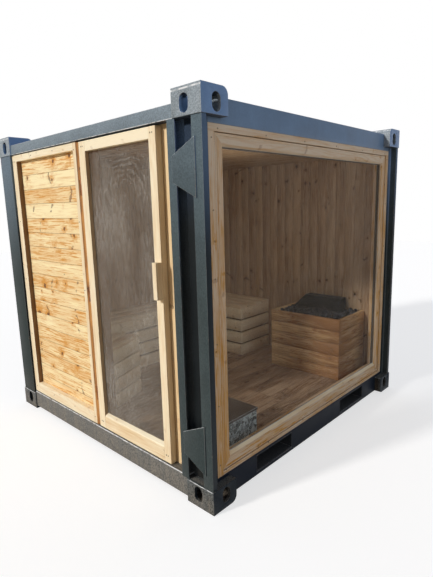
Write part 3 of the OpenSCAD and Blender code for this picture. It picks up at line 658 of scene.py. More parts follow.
# A per-corner mark deepens the tone, painting boards darker towards one end: a painted shade.
shaded_tone = g["Tone"] + g["Tan"]
depth = rings * 0.24 + shaded_tone * 0.62 + (fibre - 0.5) * 0.45 + (broad - 0.5) * 1.5
depth = streak * g["Streaks"] * slide(shaded_tone, 0.0, 0.6, 0.25, 0.75) + swirl * 0.7 + depth
wood = mingle(depth.least(1.3).most(0.0), g["Pale"], g["Deep"])
bow = (beside * 52.0 + layer * 7.0).sine() * 0.013 + (bent * 0.022 + along)
whorls = put(pine_grain, "ShaderNodeTexVoronoi", {"W": layer * 0.61 + bow, "Scale": 2.7},
             voronoi_dimensions="1D")
lucky = whorls["Color"].into("ShaderNodeSeparateColor")
whorl = slide(whorls["Distance"] / 2.7 * slide(blur, 0.3, 0.7, 1.7, 0.7), 0.0150, 0.0050)
whorl = whorl * slide(fibres(8.0, 26.0), 0.48, 0.58) * slide(lucky, 0.50, 0.52) * g["Knots"]
wood = mingle(whorl * 0.70, wood, g["Knot"])
wood = mingle(core * 0.80, wood, g["Knot"])
wood = mingle(heart * 0.5, wood, chart(46, 28, 18))
grime = slide(fibres(3.0, 3.0, 1.0, 5.0, 0.6), 0.40, 0.72) * g["Soiling"]
wood = mingle(grime, wood, chart(150, 128, 104), "MULTIPLY")
# Faces marked by edge are painted darker: the chamfers and the faces towards +X, a painted shade.
wood = mingle((g["Edge"] * 0.70).least(1.0), wood, chart(166, 148, 130), "MULTIPLY")
wood = mingle(slide(g["Edge"], 1.5, 2.5), wood, chart(160, 128, 96), "MULTIPLY")
give(pine_grain, Color=wood, Roughness=rings * 0.10 + slide(broad, 0.2, 0.8, 0.50, 0.64),
     Height=rings * 0.4 + core * -0.4 + fibre * 0.5)


def timber(name, pale, deep, knot=(104, 62, 34), figure=1.0, streaks=0.5, knots=1.0,
           knot_size=0.008, soiling=0.0):
    """Wood with its colour between the rings, in the rings and in the knots, and how strong
    its rings, streaks, knots and dirt are."""
    values = {"Pale": pale, "Deep": deep, "Knot": knot, "Figure": figure, "Streaks": streaks,
              "Knots": knots, "Knot Size": knot_size, "Soiling": soiling}
    return dressed(name, pine_grain, values, (0.3, 0.0008), Specular_IOR_Level=0.25)


def bare_boards():
    """An empty mesh in the making, with the marks that the grain is drawn by."""
    whole = bmesh.new()
    whole.loops.layers.uv.new("UVMap")
    whole.loops.layers.float.new("tan")
    whole.faces.layers.float.new("tone")
    whole.faces.layers.float.new("edge")
    return whole


def grained(whole, faces, grain, shift, tone, tan=0.0):
    """Lays the grain on the faces of one board, along one axis and moved on by shift. The last
    value is how much darker the board's lower end is painted, a painted shade."""
    flat, shaded_tone = whole.loops.layers.uv["UVMap"], whole.loops.layers.float["tan"]
    reach = [loop.vert.co[grain] for face in faces for loop in face.loops]
    top, length = max(reach), max(reach) - min(reach)
    for face in faces:
        face[whole.faces.layers.float["tone"]] = tone
        for loop in face.loops:
            co = loop.vert.co
            loop[flat].uv = (co[grain] + shift, sum(co) - co[grain])
            loop[shaded_tone] = tan * (top - co[grain]) / length


def mesh_of(whole, name):
    made = bpy.data.meshes.new(name)
    whole.to_mesh(made)
    whole.free()
    return made


def planks(name, boards, chamfer=0.0015, chamfer_shade=0.0):
    """One mesh of separate boards, each given by two corners, its grain's axis and its tone.
    A fifth value paints the face that looks towards +X darker, a painted shade, and a sixth
    one paints the board darker towards its lower end, also a painted shade. The chamfers can
    be painted darker too, a painted shade in the joints."""
    whole = bare_boards()
    edged = whole.faces.layers.float["edge"]
    for number, (low, high, grain, tone, *more) in enumerate(boards):
        side_shade, tan = (*more, 0.0, 0.0)[:2]
        before = set(whole.faces)
        corners = bmesh.ops.create_cube(whole, size=1.0)["verts"]
        for corner in corners:
            corner.co = [low[i] if corner.co[i] < 0 else high[i] for i in range(3)]
        edges = dict.fromkeys(edge for corner in corners for edge in corner.link_edges)
        bmesh.ops.bevel(whole, geom=list(edges), offset=chamfer, segments=2, profile=0.6,
                        affect="EDGES", clamp_overlap=True)
        whole.normal_update()
        faces = [face for face in whole.faces if face not in before]
        for face in faces:
            face[edged] = 0.0 if max(map(abs, face.normal)) > 0.999 else chamfer_shade
            if side_shade and face.normal.x > 0.9:
                face[edged] = side_shade
        grained(whole, faces, grain, number * 1.731, tone, tan)
    return mesh_of(whole, name)


panel_pine = timber("knotty panel pine", (255, 240, 194), (216, 154, 74), (104, 62, 36), 0.5,
                    1.3, 1.0, 0.014)
frame_pine = timber("planed frame pine", (252, 240, 211), (220, 184, 132), (140, 92, 56), 0.5,
                    0.3, 0.3, 0.005)
low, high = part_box("panel_boards")
pitch = 0.093
tones = (0.42, -0.12, 0.72, -0.08, 0.42, 0.38, 0.56, 0.28, 0.62, 0.26, 0.60, 0.22, 0.62, 0.44,
         0.72, 0.34, 0.54)
boards = []
for number, tone in enumerate(tones):
    top = high.z - number * pitch
    boards.append(((low.x, low.y, max(top - pitch, low.z) + 0.0003), (high.x, high.y, top), 0,
                   tone))
# The boards' chamfers are painted darker: a painted shade in the joints.
settled_piece("panel_boards_row", planks("panel boards", boards, 0.0014, 1.0), panel_pine,
              "knotty_pine", "panel_boards")
frame_low, frame_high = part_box("panel_frame")
(x0, y0, z0), (x1, y1, z1) = frame_low, frame_high
strip = 0.015  # room for the orange strip beside the hinges, a painted bounce light
# The stiles' fifth values paint their faces towards +X darker: a painted shade in the reveal and the
# gap.
members = [((x0, y0, z0), (low.x, y1, high.z), 2, 0.30, 2.1),
           ((high.x, y0, z0), (x1 - strip, y1, z1), 2, 0.38, 1.0),
           ((x0, y0, high.z), (high.x, y1, z1), 0, 0.12),
           ((low.x, y0, z0), (high.x, y1, low.z), 0, 0.25)]
settled_piece("panel_frame_members", planks("panel frame", members, 0.0018), frame_pine,
              "planed_pine", "panel_frame")

# ---------------------------------------------------------------------------
# Door frame.
# Two jambs, a head and a threshold of planed pine behind the door's face.
# ---------------------------------------------------------------------------
jamb_pine = timber("jamb pine", (242, 216, 172), (206, 158, 104), (120, 78, 46), 0.8, 0.5)
# The hinge jamb's fifth value paints its face towards +X darker: a painted shade.
boards = [(*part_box("hinge_jamb"), 2, 0.45, 1.4), (*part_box("latch_jamb"), 2, 0.05),
          (*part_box("door_head"), 0, 0.25), (*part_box("threshold"), 0, 0.5)]
settled_piece("door_frame_members", planks("door frame", boards), jamb_pine, "planed_pine",
              "hinge_jamb", "latch_jamb", "door_head", "threshold")

# ---------------------------------------------------------------------------
# Door leaf.
# Two stiles run from top to bottom with the rails between them. A sloping
# bead holds the glass at its foot, and a plain block of pine is the handle.
# ---------------------------------------------------------------------------
leaf_low, leaf_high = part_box("door_leaf")
(x0, y0, z0), (x1, y1, z1) = leaf_low, leaf_high
low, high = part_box("door_glass")
# The stiles' fifth values paint their faces towards +X darker: a painted shade.
members = [((x0, y0, z0), (low.x, y1, z1), 2, 0.30, 1.3),
           ((high.x, y0, z0), (x1, y1, z1), 2, 0.30, 0.7),
           ((low.x, y0, high.z), (high.x, y1, z1), 0, -0.25),
           ((low.x, y0, z0), (high.x, y1, low.z), 0, 0.62)]
settled_piece("door_leaf_members", planks("door leaf", members, 0.0018), frame_pine,
              "planed_pine", "door_leaf", body="door")
# The handle's fifth value paints its face towards +X darker: a painted shade.
handle = planks("door handle", [(*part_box("door_handle"), 2, 0.38, 0.7)], 0.003)
settled_piece("door_handle_block", handle, frame_pine, "planed_pine", "door_handle", body="door")

smeared_glass, g = new_tree("smeared glass", {
    "Vector": ("Place", "Sweep"), "Color": ("Film", "Dirt"),
    "Float": ("Clear", "Dirty", "Swept")})
place = g["Place"]
wiped = speckle(stretched(place, (3.8, 3.8, 2.4)), 1.0, 5.0, 0.6)
fine = speckle(stretched(place, (120.0, 120.0, 16.0)), 1.0, 4.0, 0.7)
drops = slide(speckle(place, 190.0, 3.0, 0.7), 0.46, 0.66)
centre = place.into("ShaderNodeVectorMath", {1: g["Sweep"]}, operation="SUBTRACT")
radius = centre.into("ShaderNodeVectorMath", operation="LENGTH")["Value"]
turns = radius * 38.0 + speckle(place, 8.0, 4.0) * 5.0
arcs = slide((turns * tau).sine(), 0.2, 0.95) * slide(radius, 0.30, 0.12)
arcs = arcs * slide(radius, 0.03, 0.08) * slide(split(centre)[2], -0.14, 0.06)
arcs = arcs * g["Swept"] * slide(fine, 0.35, 0.6)
film = slide(wiped, 0.30, 0.78, 0.10, 1.0) * slide(fine, 0.36, 0.64, 0.20, 1.0)
film = (film + arcs + drops * 0.70).least(1.3)
give(smeared_glass, Color=mingle(film, g["Film"], g["Dirt"]), Roughness=film * 0.22 + 0.06,
     Height=film, Alpha=film * g["Dirty"] + g["Clear"])
door_film = dressed("door glass", smeared_glass, {
    "Film": (94, 83, 71), "Dirt": (176, 172, 165), "Clear": 0.21, "Dirty": 0.25,
    "Sweep": (0.397, low.y, 1.50), "Swept": 0.55}, (0.02, 0.0005), Specular_IOR_Level=0.2)
settled_piece("door_pane", planks("door pane", [(low, high, 2, 0.5)], 0.001), door_film,
              "door_pane", "door_glass", body="door")


def bridged(whole, first, last):
    """A solid bar between two rings of points, sides first and ends last."""
    a, b = ([whole.verts.new(co) for co in ring] for ring in (first, last))
    count = len(first)
    sides = [(a[i], a[(i + 1) % count], b[(i + 1) % count], b[i]) for i in range(count)]
    return [whole.faces.new(corners) for corners in (*sides, a[::-1], b)]


def wedge(name, points, start, end, grain, tone):
    """A strip with the cross section in points, from start to end along the grain axis."""
    strip = bare_boards()
    rings = [[(*p[:grain], reach, *p[grain:]) for p in points] for reach in (start, end)]
    grained(strip, bridged(strip, *rings), grain, 0.0, tone)
    bmesh.ops.recalc_face_normals(strip, faces=strip.faces)
    return mesh_of(strip, name)


slope = [(leaf_low.y + 0.001, low.z - 0.001), (leaf_low.y + 0.004, low.z + 0.006),
         (low.y, low.z + 0.016), (low.y, low.z - 0.001)]
settled_piece("door_bead", wedge("door bead", slope, low.x, high.x, 0, 0.02), frame_pine,
              "planed_pine", body="door")

# ---------------------------------------------------------------------------
# Hinges.
# Three cranked barrel hinges, painted brown, sit back in the gap on the left of
# the leaf, so that nothing stands out from the door's face.
# ---------------------------------------------------------------------------
zinc, g = new_tree("rubbed zinc", {"Vector": ("Place",), "Color": ("Metal", "Stain")})
cloudy = slide(speckle(g["Place"], 60.0, 4.0), 0.4, 0.8)
brushed = speckle(stretched(g["Place"], (700.0, 700.0, 40.0)), 1.0, 2.0)
give(zinc, Color=mingle(cloudy, g["Metal"], g["Stain"]),
     Roughness=slide(brushed, 0.3, 0.7, 0.28, 0.45), Height=brushed)
hinge_steel = dressed("hinge steel", zinc, {"Metal": (176, 112, 60), "Stain": (132, 82, 42)},
                      (0.1, 0.0003), Metallic=0.1)
for node, body in (("hinge_straps", "door"), ("hinge_plates", "cabin")):
    settled_piece(node + "_soft", rounded(node, 0.0006), hinge_steel, "hinge_steel", node,
                  body=body)

# The strip in the gap beside the leaf is orange to stand for warm light bounced inside the gap: a
# painted bounce light.
gap_bounce_pine = timber("gap bounce strip", (206, 146, 78), (124, 80, 40), (70, 44, 26), 0.8, 1.4)
first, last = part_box("hinge_plates")[0].z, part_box("hinge_straps")[1].z
tall, play = 0.0805, 0.002
stops = [leaf_low.z]
for number in range(3):
    foot = first + number * (last - first - tall) / 2
    stops += [foot - play, foot + tall + play]
stops.append(leaf_high.z)
strips = [((frame_high.x - 0.001, frame_low.y + 0.0005, foot),
           (leaf_low.x - 0.0055, frame_low.y + 0.008, top), 2, 0.4)
          for foot, top in zip(stops[::2], stops[1::2])]
# Above this height the strip on the frame is painted darker: a painted shade.
shaded_above = 1.41
for foot, top, tone in ((frame_low.z, shaded_above, 0.45), (shaded_above, frame_high.z, 1.0)):
    strips.append(((frame_high.x - 0.0146, frame_low.y + 0.0002, foot),
                   (frame_high.x - 0.0004, frame_high.y, top), 2, tone))
settled_piece("gap_strip", planks("gap strip", strips, 0.0008), gap_bounce_pine, "planed_pine")

# ---------------------------------------------------------------------------
# Window.
# Deep boards line the opening. The mitred sash has a fine step round it and a
# sloping bead at its foot, and holds a double pane with a dark spacer.
# ---------------------------------------------------------------------------
window_pine = timber("window timber", (232, 219, 201), (208, 158, 82), (128, 76, 38), 0.9, 1.1,
                     0.5, 0.006)
(x0, y0, z0), (x1, y1, z1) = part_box("window_lining")
sash_low, sash_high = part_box("window_sash")
# The side boards' last values paint them darker towards their lower ends: a painted shade.
boards = [((x0, y0, sash_high.z), (x1, y1, z1), 1, 0.0),
          ((x0, y0, z0), (x1, sash_low.y, sash_high.z), 2, 0.15, 0.0, 0.8),
          ((x0, sash_high.y, z0), (x1, y1, sash_high.z), 2, 0.45, 0.0, 0.2),
          ((x0, sash_low.y, z0), (x1, sash_high.y, sash_low.z), 1, 0.5)]
settled_piece("window_lining_boards", planks("window lining", boards), window_pine,
              "window_timber", "window_lining")

pane_low, pane_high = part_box("window_glass")
bar = pane_low.y - sash_low.y
deep = sash_high.x - sash_low.x
section = [(0.001, deep), (0.001, 0.006), (0.0045, 0.0), (0.0135, 0.0), (0.015, 0.0028),
           (0.018, 0.0028), (0.0195, 0.0), (bar - 0.008, 0.0), (bar - 0.001, 0.006), (bar, 0.009),
           (bar, deep)]
corners = [(sash_low.y, sash_low.z, 1, 1), (sash_high.y, sash_low.z, -1, 1),
           (sash_high.y, sash_high.z, -1, -1), (sash_low.y, sash_high.z, 1, -1)]
gap = 0.0004
bars = bare_boards()
# The second value of each pair paints the bar darker towards its lower end: a painted shade.
for side, (tone, tan) in enumerate(((0.45, 0.0), (0.5, 0.15), (-0.05, 0.0), (0.15, 0.85))):
    ends = corners[side], corners[(side + 1) % 4]
    run = side % 2
    step = gap if ends[1][run] > ends[0][run] else -gap
    rings = []
    for (y, z, in_y, in_z), shift in zip(ends, (step, -step)):
        ring = [[sash_high.x - back, y + in_y * inward, z + in_z * inward]
                for inward, back in section]
        for co in ring:
            co[1 + run] += shift
        rings.append(ring)
    faces = bridged(bars, *rings)
    grained(bars, faces, 1 + run, side * 2.3, tone, tan)
    # The step's sloping face is painted darker: a painted shade line.
    outer_step = faces[1]
    outer_step[bars.faces.layers.float["edge"]] = 1.4
bmesh.ops.recalc_face_normals(bars, faces=bars.faces)
settled_piece("window_sash_bars", mesh_of(bars, "window sash"), window_pine, "window_timber",
              "window_sash")
(x0, y0, z0), (x1, y1, z1) = pane_low, pane_high
slope = [(sash_high.x - 0.001, z0), (x1 + 0.0005, z0 + 0.019), (x1 + 0.0005, z0)]
settled_piece("window_bead", wedge("window bead", slope, y0, y1, 1, 0.25), frame_pine,
              "window_timber")
window_film = dressed("window glass", smeared_glass, {
    "Film": (122, 114, 106), "Dirt": (168, 162, 152), "Clear": 0.03, "Dirty": 0.06,
    "Swept": 0.0}, (0.02, 0.0005), Specular_IOR_Level=0.3)
thick = 0.004
sheets = [((x1 - thick, y0, z0), (x1, y1, z1), 2, 0.5), ((x0, y0, z0), (x0 + thick, y1, z1), 2, 0.5)]
settled_piece("window_panes", planks("window panes", sheets, 0.0008), window_film,
              "window_pane", "window_glass")

rubber, g = new_tree("dull rubber", {"Vector": ("Place",), "Color": ("Rubber",)})
cloudy = speckle(g["Place"], 40.0, 4.0)
give(rubber, Color=mingle(0.4, g["Rubber"], cloudy, "OVERLAY"),
     Roughness=slide(cloudy, 0.3, 0.7, 0.5, 0.7), Height=cloudy)


def strips_round(name, strips, finish, tint):
    """The thin strips of one seal, which run round the pane."""
    seal = dressed(finish, rubber, {"Rubber": tint}, (0.1, 0.0005))
    settled_piece(name, planks(name.replace("_", " "), strips, 0.0006), seal, "window_pane")


back, front, wide = x0 + 0.0042, x1 - 0.0042, 0.006
strips_round("window_spacer", [
    ((back, y0, z0), (front, y0 + wide, z1), 2, 0), ((back, y1 - wide, z0), (front, y1, z1), 2, 0),
    ((back, y0 + wide, z1 - wide), (front, y1 - wide, z1), 1, 0),
    ((back, y0 + wide, z0), (front, y1 - wide, z0 + wide), 1, 0)], "spacer and seal", (88, 82, 74))
back, front, wide, foot = x1 + 0.0003, x1 + 0.0025, 0.0022, z0 + 0.0215
strips_round("window_seam", [
    ((back, y0, z0 + 0.018), (front, y1, foot), 1, 0),
    ((back, y0, z1 - wide), (front, y1, z1), 1, 0),
    ((back, y0, foot), (front, y0 + wide, z1 - wide), 2, 0),
    ((back, y1 - wide, foot), (front, y1, z1 - wide), 2, 0)], "clear silicone", (206, 204, 198))

# ---------------------------------------------------------------------------
# Floor, linings and ceiling.
# Rows of tongued softwood boards: the floor runs along the window, the walls
# are boarded upright.
# ---------------------------------------------------------------------------
board_row, g = new_tree("board row", {
    "Float": {"Length": 1.0, "Width": 0.09, "Thickness": 0.016, "Chamfer": 0.002,
              "Pitch": 0.093, "Palest": 0.1, "Darkest": 0.7},
    "Int": {"Count": 4, "Seed": 1}, "Rotation": ("Turn",), "Vector": ("Place",),
    "Material": ("Finish",)}, "Geometry")
outline = put(board_row, "GeometryNodeCurvePrimitiveQuadrilateral", {"Width": g["Width"],
                                                                     "Height": g["Thickness"]})
outline = outline.into("GeometryNodeFilletCurve", {"Radius": g["Chamfer"]})
outline = outline.into("GeometryNodeTransform", {
    "Translation": point(g["Width"] * -0.5, g["Thickness"] * -0.5)})
spine = put(board_row, "GeometryNodeCurvePrimitiveLine", {"End": point(g["Length"])})
board = spine.into("GeometryNodeCurveToMesh", {"Profile Curve": outline, "Fill Caps": True})
x, y, z = split(put(board_row, "GeometryNodeInputPosition"))
board = board.into("GeometryNodeStoreNamedAttribute", {"Name": "UVMap", "Value": point(x, y + z)},
                   data_type="FLOAT2", domain="CORNER")
starts = put(board_row, "GeometryNodeMeshLine", {"Count": g["Count"],
                                                 "Offset": point(y=g["Pitch"])}, mode="OFFSET")
laid = starts.into("GeometryNodeInstanceOnPoints", {"Instance": board})
pick = put(board_row, "FunctionNodeRandomValue", {2: g["Palest"], 3: g["Darkest"],
                                                  "Seed": g["Seed"]}, data_type="FLOAT")[1]
laid = laid.into("GeometryNodeStoreNamedAttribute", {"Name": "tone", "Value": pick},
                 data_type="FLOAT", domain="INSTANCE")
coated(laid.into("GeometryNodeTransform", {"Translation": g["Place"], "Rotation": g["Turn"]}), g)


def boarded(low, high, grain, across, finish, pitch, gap, chamfer, tones, seed):
    """A box filled with a whole number of boards that run along one axis, side by side along
    another."""
    third = 3 - grain - across
    place = list(low)
    if (across - grain) % 3 == 2:
        place[third] = high[third]
    size = [b - a for a, b in zip(low, high)]
    count = max(1, round(size[across] / pitch))
    step = (size[across] + gap) / count
    return patterned(board_row, {
        "Length": size[grain], "Width": step - gap, "Thickness": size[third],
        "Chamfer": chamfer, "Pitch": step, "Count": count, "Palest": tones[0],
        "Darkest": tones[1], "Seed": seed, "Turn": turned((X, Y, Z)[grain], (X, Y, Z)[across]),
        "Place": place, "Finish": finish})


def joined(name, meshes):
    """Some meshes as one."""
    whole = bmesh.new()
    for mesh in meshes:
        whole.from_mesh(mesh)
        bpy.data.meshes.remove(mesh)
    return mesh_of(whole, name)


floor_pine = timber("floor boards", (196, 170, 140), (132, 98, 70), (72, 50, 34), 1.2, 0.9, 0.8,
                    0.009, 0.5)
lining_pine = timber("wall boards", (208, 182, 148), (150, 116, 84), (70, 46, 30), 1.0, 0.7, 0.9,
                     0.009)
low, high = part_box("floor_deck")
notch_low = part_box("hinge_jamb")[0].x
notch_high, notch_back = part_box("latch_jamb")[1].x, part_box("latch_jamb")[1].y
joint = -0.012
parts = [boarded((x0, y0, low.z), (x1, y1, high.z), 1, 0, floor_pine, 0.094, 0.0012, 0.0014,
                 tones, seed)
         for x0, x1, y0, y1, tones, seed in (
             (low.x, high.x, notch_back, joint, (0.2, 0.8), 3),
             (low.x, high.x, joint + 0.002, high.y, (0.1, 0.7), 6),
             (low.x, notch_low, low.y, notch_back, (0.2, 0.8), 4),
             (notch_high, high.x, low.y, notch_back, (0.2, 0.8), 5))]
settled_piece("floor_boards_row", joined("floor boards", parts), floor_pine, "floor_boards",
              "floor_deck")


def lined(low, high, grain, across, seed):
    """Narrow close boards of one wall or of the ceiling."""
    return boarded(low, high, grain, across, lining_pine, 0.078, 0.0004, 0.0022, (0.15, 0.75),
                   seed)


for node, across, seed in (("rear_lining", 0, 7), ("left_lining", 1, 8)):
    settled_piece(node + "_boards", lined(*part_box(node), 2, across, seed), lining_pine,
                  "lining_boards", node)
low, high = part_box("front_lining")
parts = [lined(low, (notch_low, high.y, high.z), 2, 0, 9),
         lined((notch_high, low.y, low.z), high, 2, 0, 10)]
settled_piece("front_lining_boards", joined("front lining", parts), lining_pine,
              "lining_boards", "front_lining")
settled_piece("ceiling_boards_row", lined(*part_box("ceiling_lining"), 0, 1, 11), lining_pine,
              "lining_boards", "ceiling_lining")

# ---------------------------------------------------------------------------
# Benches, boarded box and stool.
# Slatted fronts with open gaps stand on the floor, and the seats are boarded
# too. The guard box round the heater is close boarded and open at the top.
# ---------------------------------------------------------------------------
bench_pine = timber("bench boards", (255, 244, 214), (220, 184, 136), (110, 76, 50), 0.8, 0.4,
                    0.5, 0.007)
box_pine = timber("box boards", (240, 206, 152), (156, 110, 64), (84, 56, 36), 0.9, 1.3, 0.5,
                  0.006)
slat = 0.024


def slatted(low, high, sides, pitch, gap, seed, seat_grain=0, finish=bench_pine, chamfer=0.0025):
    """Boarded sides round a box and a boarded top over them. sides holds an axis and -1 or 1
    for each. With seat_grain None the box stays open at the top."""
    parts = []
    top = high.z if seat_grain is None else high.z - slat
    for count, (axis, way) in enumerate(sides):
        first, last = list(low), [high.x, high.y, top]
        if way > 0:
            first[axis] = high[axis] - slat
        else:
            last[axis] = low[axis] + slat
        if axis == 0:
            first[1] += slat * ((1, -1) in sides)
            last[1] -= slat * ((1, 1) in sides)
        parts.append(boarded(first, last, 1 - axis, 2, finish, pitch, gap, chamfer, (-0.2, 0.4),
                             seed + count))
    if seat_grain is not None:
        parts.append(boarded((low.x, low.y, top), high, seat_grain, 1 - seat_grain, finish, pitch,
                             gap, chamfer, (0.1, 0.6), seed + 7))
    return joined("slats", parts)


for node, sides, seed, seat_grain in (("left_bench", [(0, 1)], 21, 1),
                                      ("rear_bench", [(1, -1), (0, 1)], 31, 0)):
    settled_piece(node + "_slats", slatted(*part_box(node), sides, 0.104, 0.016, seed, seat_grain),
                  bench_pine, "bench_boards", node)
low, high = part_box("boarded_box")
mesh = slatted(low, high, [(1, -1), (0, -1), (0, 1)], 0.090, 0.003, 41, None, box_pine, 0.003)
# The right end of the box's front is painted darker where the front lamp shines on it through the
# door glass: painted shade against that light.
sun_patch_shade = mesh.attributes.new("tan", "FLOAT", "POINT")
sun_patch_shade.data.foreach_set("value", [1.5 * float(0.70 < v.co.x and v.co.y < low.y + 0.03)
                                for v in mesh.vertices])
settled_piece("heater_box_boards", mesh, box_pine, "bench_boards", "boarded_box")
low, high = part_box("stool")
long_, wide = 0.320, 0.190
turn = radians(90 + 21.5)
corner = (high.x, high.y - long_ * sin(turn), low.z)
mesh = slatted(Vector((0, 0, 0)), Vector((long_, wide, high.z - low.z)),
               [(1, -1), (1, 1), (0, -1), (0, 1)], 0.098, 0.012, 51)
mesh.transform(Matrix.Translation(corner) @ Matrix.Rotation(turn, 4, "Z"))
settled_piece("stool_slats", mesh, bench_pine, "bench_boards", "stool")

# ---------------------------------------------------------------------------
# Heater and stone block.
# A black steel heater with a sloping hood stands in the guard box, with dark
# stones on its top plate. A low marbled stone block with a lid is by the window.
# ---------------------------------------------------------------------------
broken_stone, g = new_tree("broken stone", {
    "Vector": ("Place",), "Color": ("Pale", "Deep", "Joint"), "Float": ("Cobbles", "Edge")})
drift = speckle(g["Place"], 24.0, 4.0, 0.5)["Color"].into(
    "ShaderNodeVectorMath", {1: (0.055, 0.055, 0.055)}, operation="MULTIPLY")
bent = g["Place"].into("ShaderNodeVectorMath", {1: drift}, operation="ADD")
cells = bent.into("ShaderNodeTexVoronoi", {"Scale": g["Cobbles"]})
rims = bent.into("ShaderNodeTexVoronoi", {"Scale": g["Cobbles"]}, feature="DISTANCE_TO_EDGE")
lot = cells["Color"].into("ShaderNodeSeparateColor")
cloud = speckle(g["Place"], 60.0, 5.0, 0.7)
seam = slide(rims["Distance"], 0.07, 0.01)
tone = mingle(slide(cloud * 0.9 + lot * 0.7, 0.35, 0.95), g["Deep"], g["Pale"])
tone = mingle(seam * 0.8, tone, g["Joint"])
give(broken_stone, Color=mingle(g["Edge"] * 0.3, tone, g["Pale"]),
     Roughness=slide(cloud, 0.3, 0.7, 0.45, 0.8), Height=cloud - seam)


def stone(name, pale, deep, joint, cobbles):
    """Rough stone; the more cobbles to the metre, the finer its marbling."""
    values = {"Pale": pale, "Deep": deep, "Joint": joint, "Cobbles": cobbles}
    return dressed(name, broken_stone, values, (0.5, 0.003), Specular_IOR_Level=0.3)


heater_paint = steel("heater paint", (9, 12, 14), (9, 12, 14), 0.06, dust=(120, 122, 122),
                     dust_height=0.6, dust_amount=0.02, rust=0.05, grain=0.3, rubbed=0.12)
# The lid's bright edges are wear and a painted highlight.
lid_paint = steel("lid paint", (92, 80, 70), (80, 70, 62), 0.3, dust=(136, 130, 120),
                  dust_height=0.4, rust=0.9, grain=0.4, rubbed=2.0)
block_stone = stone("marbled stone", (212, 228, 230), (44, 58, 62), (34, 30, 30), 58.0)
bed_stone = stone("heater stones", (36, 40, 48), (6, 8, 10), (4, 4, 6), 9.0)
settled_piece("heater_casing", rounded("heater", 0.005, 3), heater_paint, "heater_steel",
              "heater")
settled_piece("stone_block_soft", rounded("stone_block", 0.007, 3), block_stone, "block_stone",
              "stone_block")
settled_piece("block_lid_soft", rounded("block_lid", 0.002), lid_paint, "heater_steel",
              "block_lid")

stone_bed, g = new_tree("stone bed", {
    "Float": {"Length": 0.5, "Width": 0.2, "Spacing": 0.034, "Size": 0.022}, "Int": {"Seed": 1},
    "Vector": ("Place",), "Material": ("Finish",)}, "Geometry")
plate = put(stone_bed, "GeometryNodeMeshGrid", {"Size X": g["Length"], "Size Y": g["Width"],
                                                "Vertices X": 2, "Vertices Y": 2})
spots = plate.into("GeometryNodeDistributePointsOnFaces", {
    "Distance Min": g["Spacing"], "Density Max": 4000.0, "Seed": g["Seed"]},
    distribute_method="POISSON")
ball = put(stone_bed, "GeometryNodeMeshIcoSphere", {"Radius": g["Size"], "Subdivisions": 3})
spun, grown = (put(stone_bed, "FunctionNodeRandomValue", {0: least, 1: most, "Seed": g["Seed"]},
                   data_type="FLOAT_VECTOR")
               for least, most in (((0.0, 0.0, 0.0), (6.28, 6.28, 6.28)),
                                   ((0.75, 0.6, 0.6), (1.25, 1.0, 0.95))))
laid = spots.into("GeometryNodeInstanceOnPoints", {"Instance": ball, "Rotation": spun,
                                                   "Scale": grown})
single = laid.into("GeometryNodeRealizeInstances")
lumps = put(stone_bed, "ShaderNodeTexNoise", {"Scale": 42.0, "Detail": 2.0})
push = put(stone_bed, "GeometryNodeInputNormal").into(
    "ShaderNodeVectorMath", {"Scale": (lumps - 0.5) * 0.022}, operation="SCALE")
broken = single.into("GeometryNodeSetPosition", {"Offset": push})
placed = broken.into("GeometryNodeTransform", {"Translation": g["Place"]})
coated(placed.into("GeometryNodeSetShadeSmooth"), g)

low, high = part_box("heater")
plate_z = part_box("boarded_box")[1].z - 0.020
hood_x, hood_y = low.x + 0.411, high.y - 0.150
parts = []
for x0, x1, y0, y1, seed in ((low.x, high.x, low.y, hood_y, 3), (hood_x, high.x, hood_y, high.y, 5)):
    parts.append(patterned(stone_bed, {
        "Length": x1 - x0 - 0.044, "Width": y1 - y0 - 0.040, "Seed": seed, "Finish": bed_stone,
        "Place": ((x0 + x1) / 2, (y0 + y1) / 2, plate_z + 0.014)}))
settled_piece("heater_stones", joined("heater stones", parts), bed_stone, "block_stone")

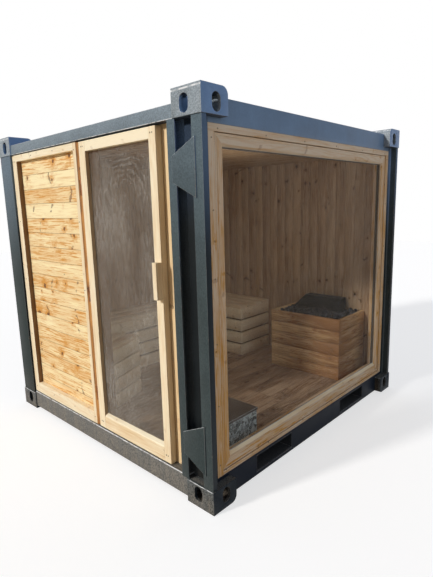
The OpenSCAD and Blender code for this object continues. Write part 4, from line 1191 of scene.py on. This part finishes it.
# ---------------------------------------------------------------------------
# Screws.
# Countersunk heads with a round socket stand almost flush: along the panel's frame,
# at the corners of the door leaf, and round the window's lining.
# ---------------------------------------------------------------------------
screw_heads, g = new_tree("screw heads", {
    "Geometry": ("Spots",), "Float": {"Radius": 0.0036, "Height": 0.0016, "Socket": 0.5},
    "Rotation": ("Turn",), "Material": ("Finish",)}, "Geometry")
disc = put(screw_heads, "GeometryNodeMeshCylinder", {"Vertices": 12, "Radius": g["Radius"],
                                                     "Depth": g["Height"]})
rim = disc.into("GeometryNodeExtrudeMesh", {"Selection": disc["Top"], "Offset Scale": 0.0},
                mode="FACES")
drawn = rim.into("GeometryNodeScaleElements", {"Selection": rim["Top"], "Scale": g["Socket"]},
                 domain="FACE")
sunk = drawn.into("GeometryNodeExtrudeMesh", {"Selection": rim["Top"],
                                              "Offset Scale": g["Height"] * -0.6}, mode="FACES")
coated(g["Spots"].into("GeometryNodeInstanceOnPoints", {"Instance": sunk, "Rotation": g["Turn"]}), g)
screw_steel = dressed("screw steel", zinc, {"Metal": (122, 108, 86), "Stain": (74, 60, 46)},
                      (0.1, 0.0003), Metallic=0.6)


def screws(name, spots, turn, body="cabin"):
    """A screw head at each spot, all turned the same way."""
    cloud = bpy.data.meshes.new(name)
    cloud.from_pydata(spots, [], [])
    mesh = patterned(screw_heads, {"Turn": turn, "Finish": screw_steel},
                     bpy.data.objects.new(name, cloud))
    settled_piece(name, mesh, screw_steel, "hinge_steel", body=body)


def spaced(first, last, count):
    """Evenly spaced places from the first to the last."""
    return [first + (last - first) * k / (count - 1) for k in range(count)]


low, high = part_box("panel_frame")
spots = [(x, low.y, z) for x in (low.x + 0.026, high.x - 0.036)
         for z in spaced(low.z + 0.04, high.z - 0.04, 5)]
spots += [(x, low.y, z) for x in spaced(low.x, high.x, 4)[1:3]
          for z in (low.z + 0.036, high.z - 0.021)]
screws("panel_screws", spots, turned(X, Z))
spots = [(x + pair, leaf_low.y, z) for x in (leaf_low.x + 0.024, leaf_high.x - 0.036)
         for pair in (0.0, 0.014) for z in (leaf_low.z + 0.038, leaf_high.z - 0.027)]
screws("door_screws", spots, turned(X, Z), "door")
(x, y0, z0), (x, y1, z1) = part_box("window_lining")
spots = [(x, y, z) for y in spaced(y0 + 0.06, y1 - 0.06, 6) for z in (z0 + 0.020, z1 - 0.020)]
spots += [(x, y, z) for y in (y0 + 0.020, y1 - 0.020) for z in spaced(z0 + 0.06, z1 - 0.06, 6)]
screws("window_screws", spots, turned(Y, Z))

# ---------------------------------------------------------------------------
# Size of the finished model.
# ---------------------------------------------------------------------------
low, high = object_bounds()
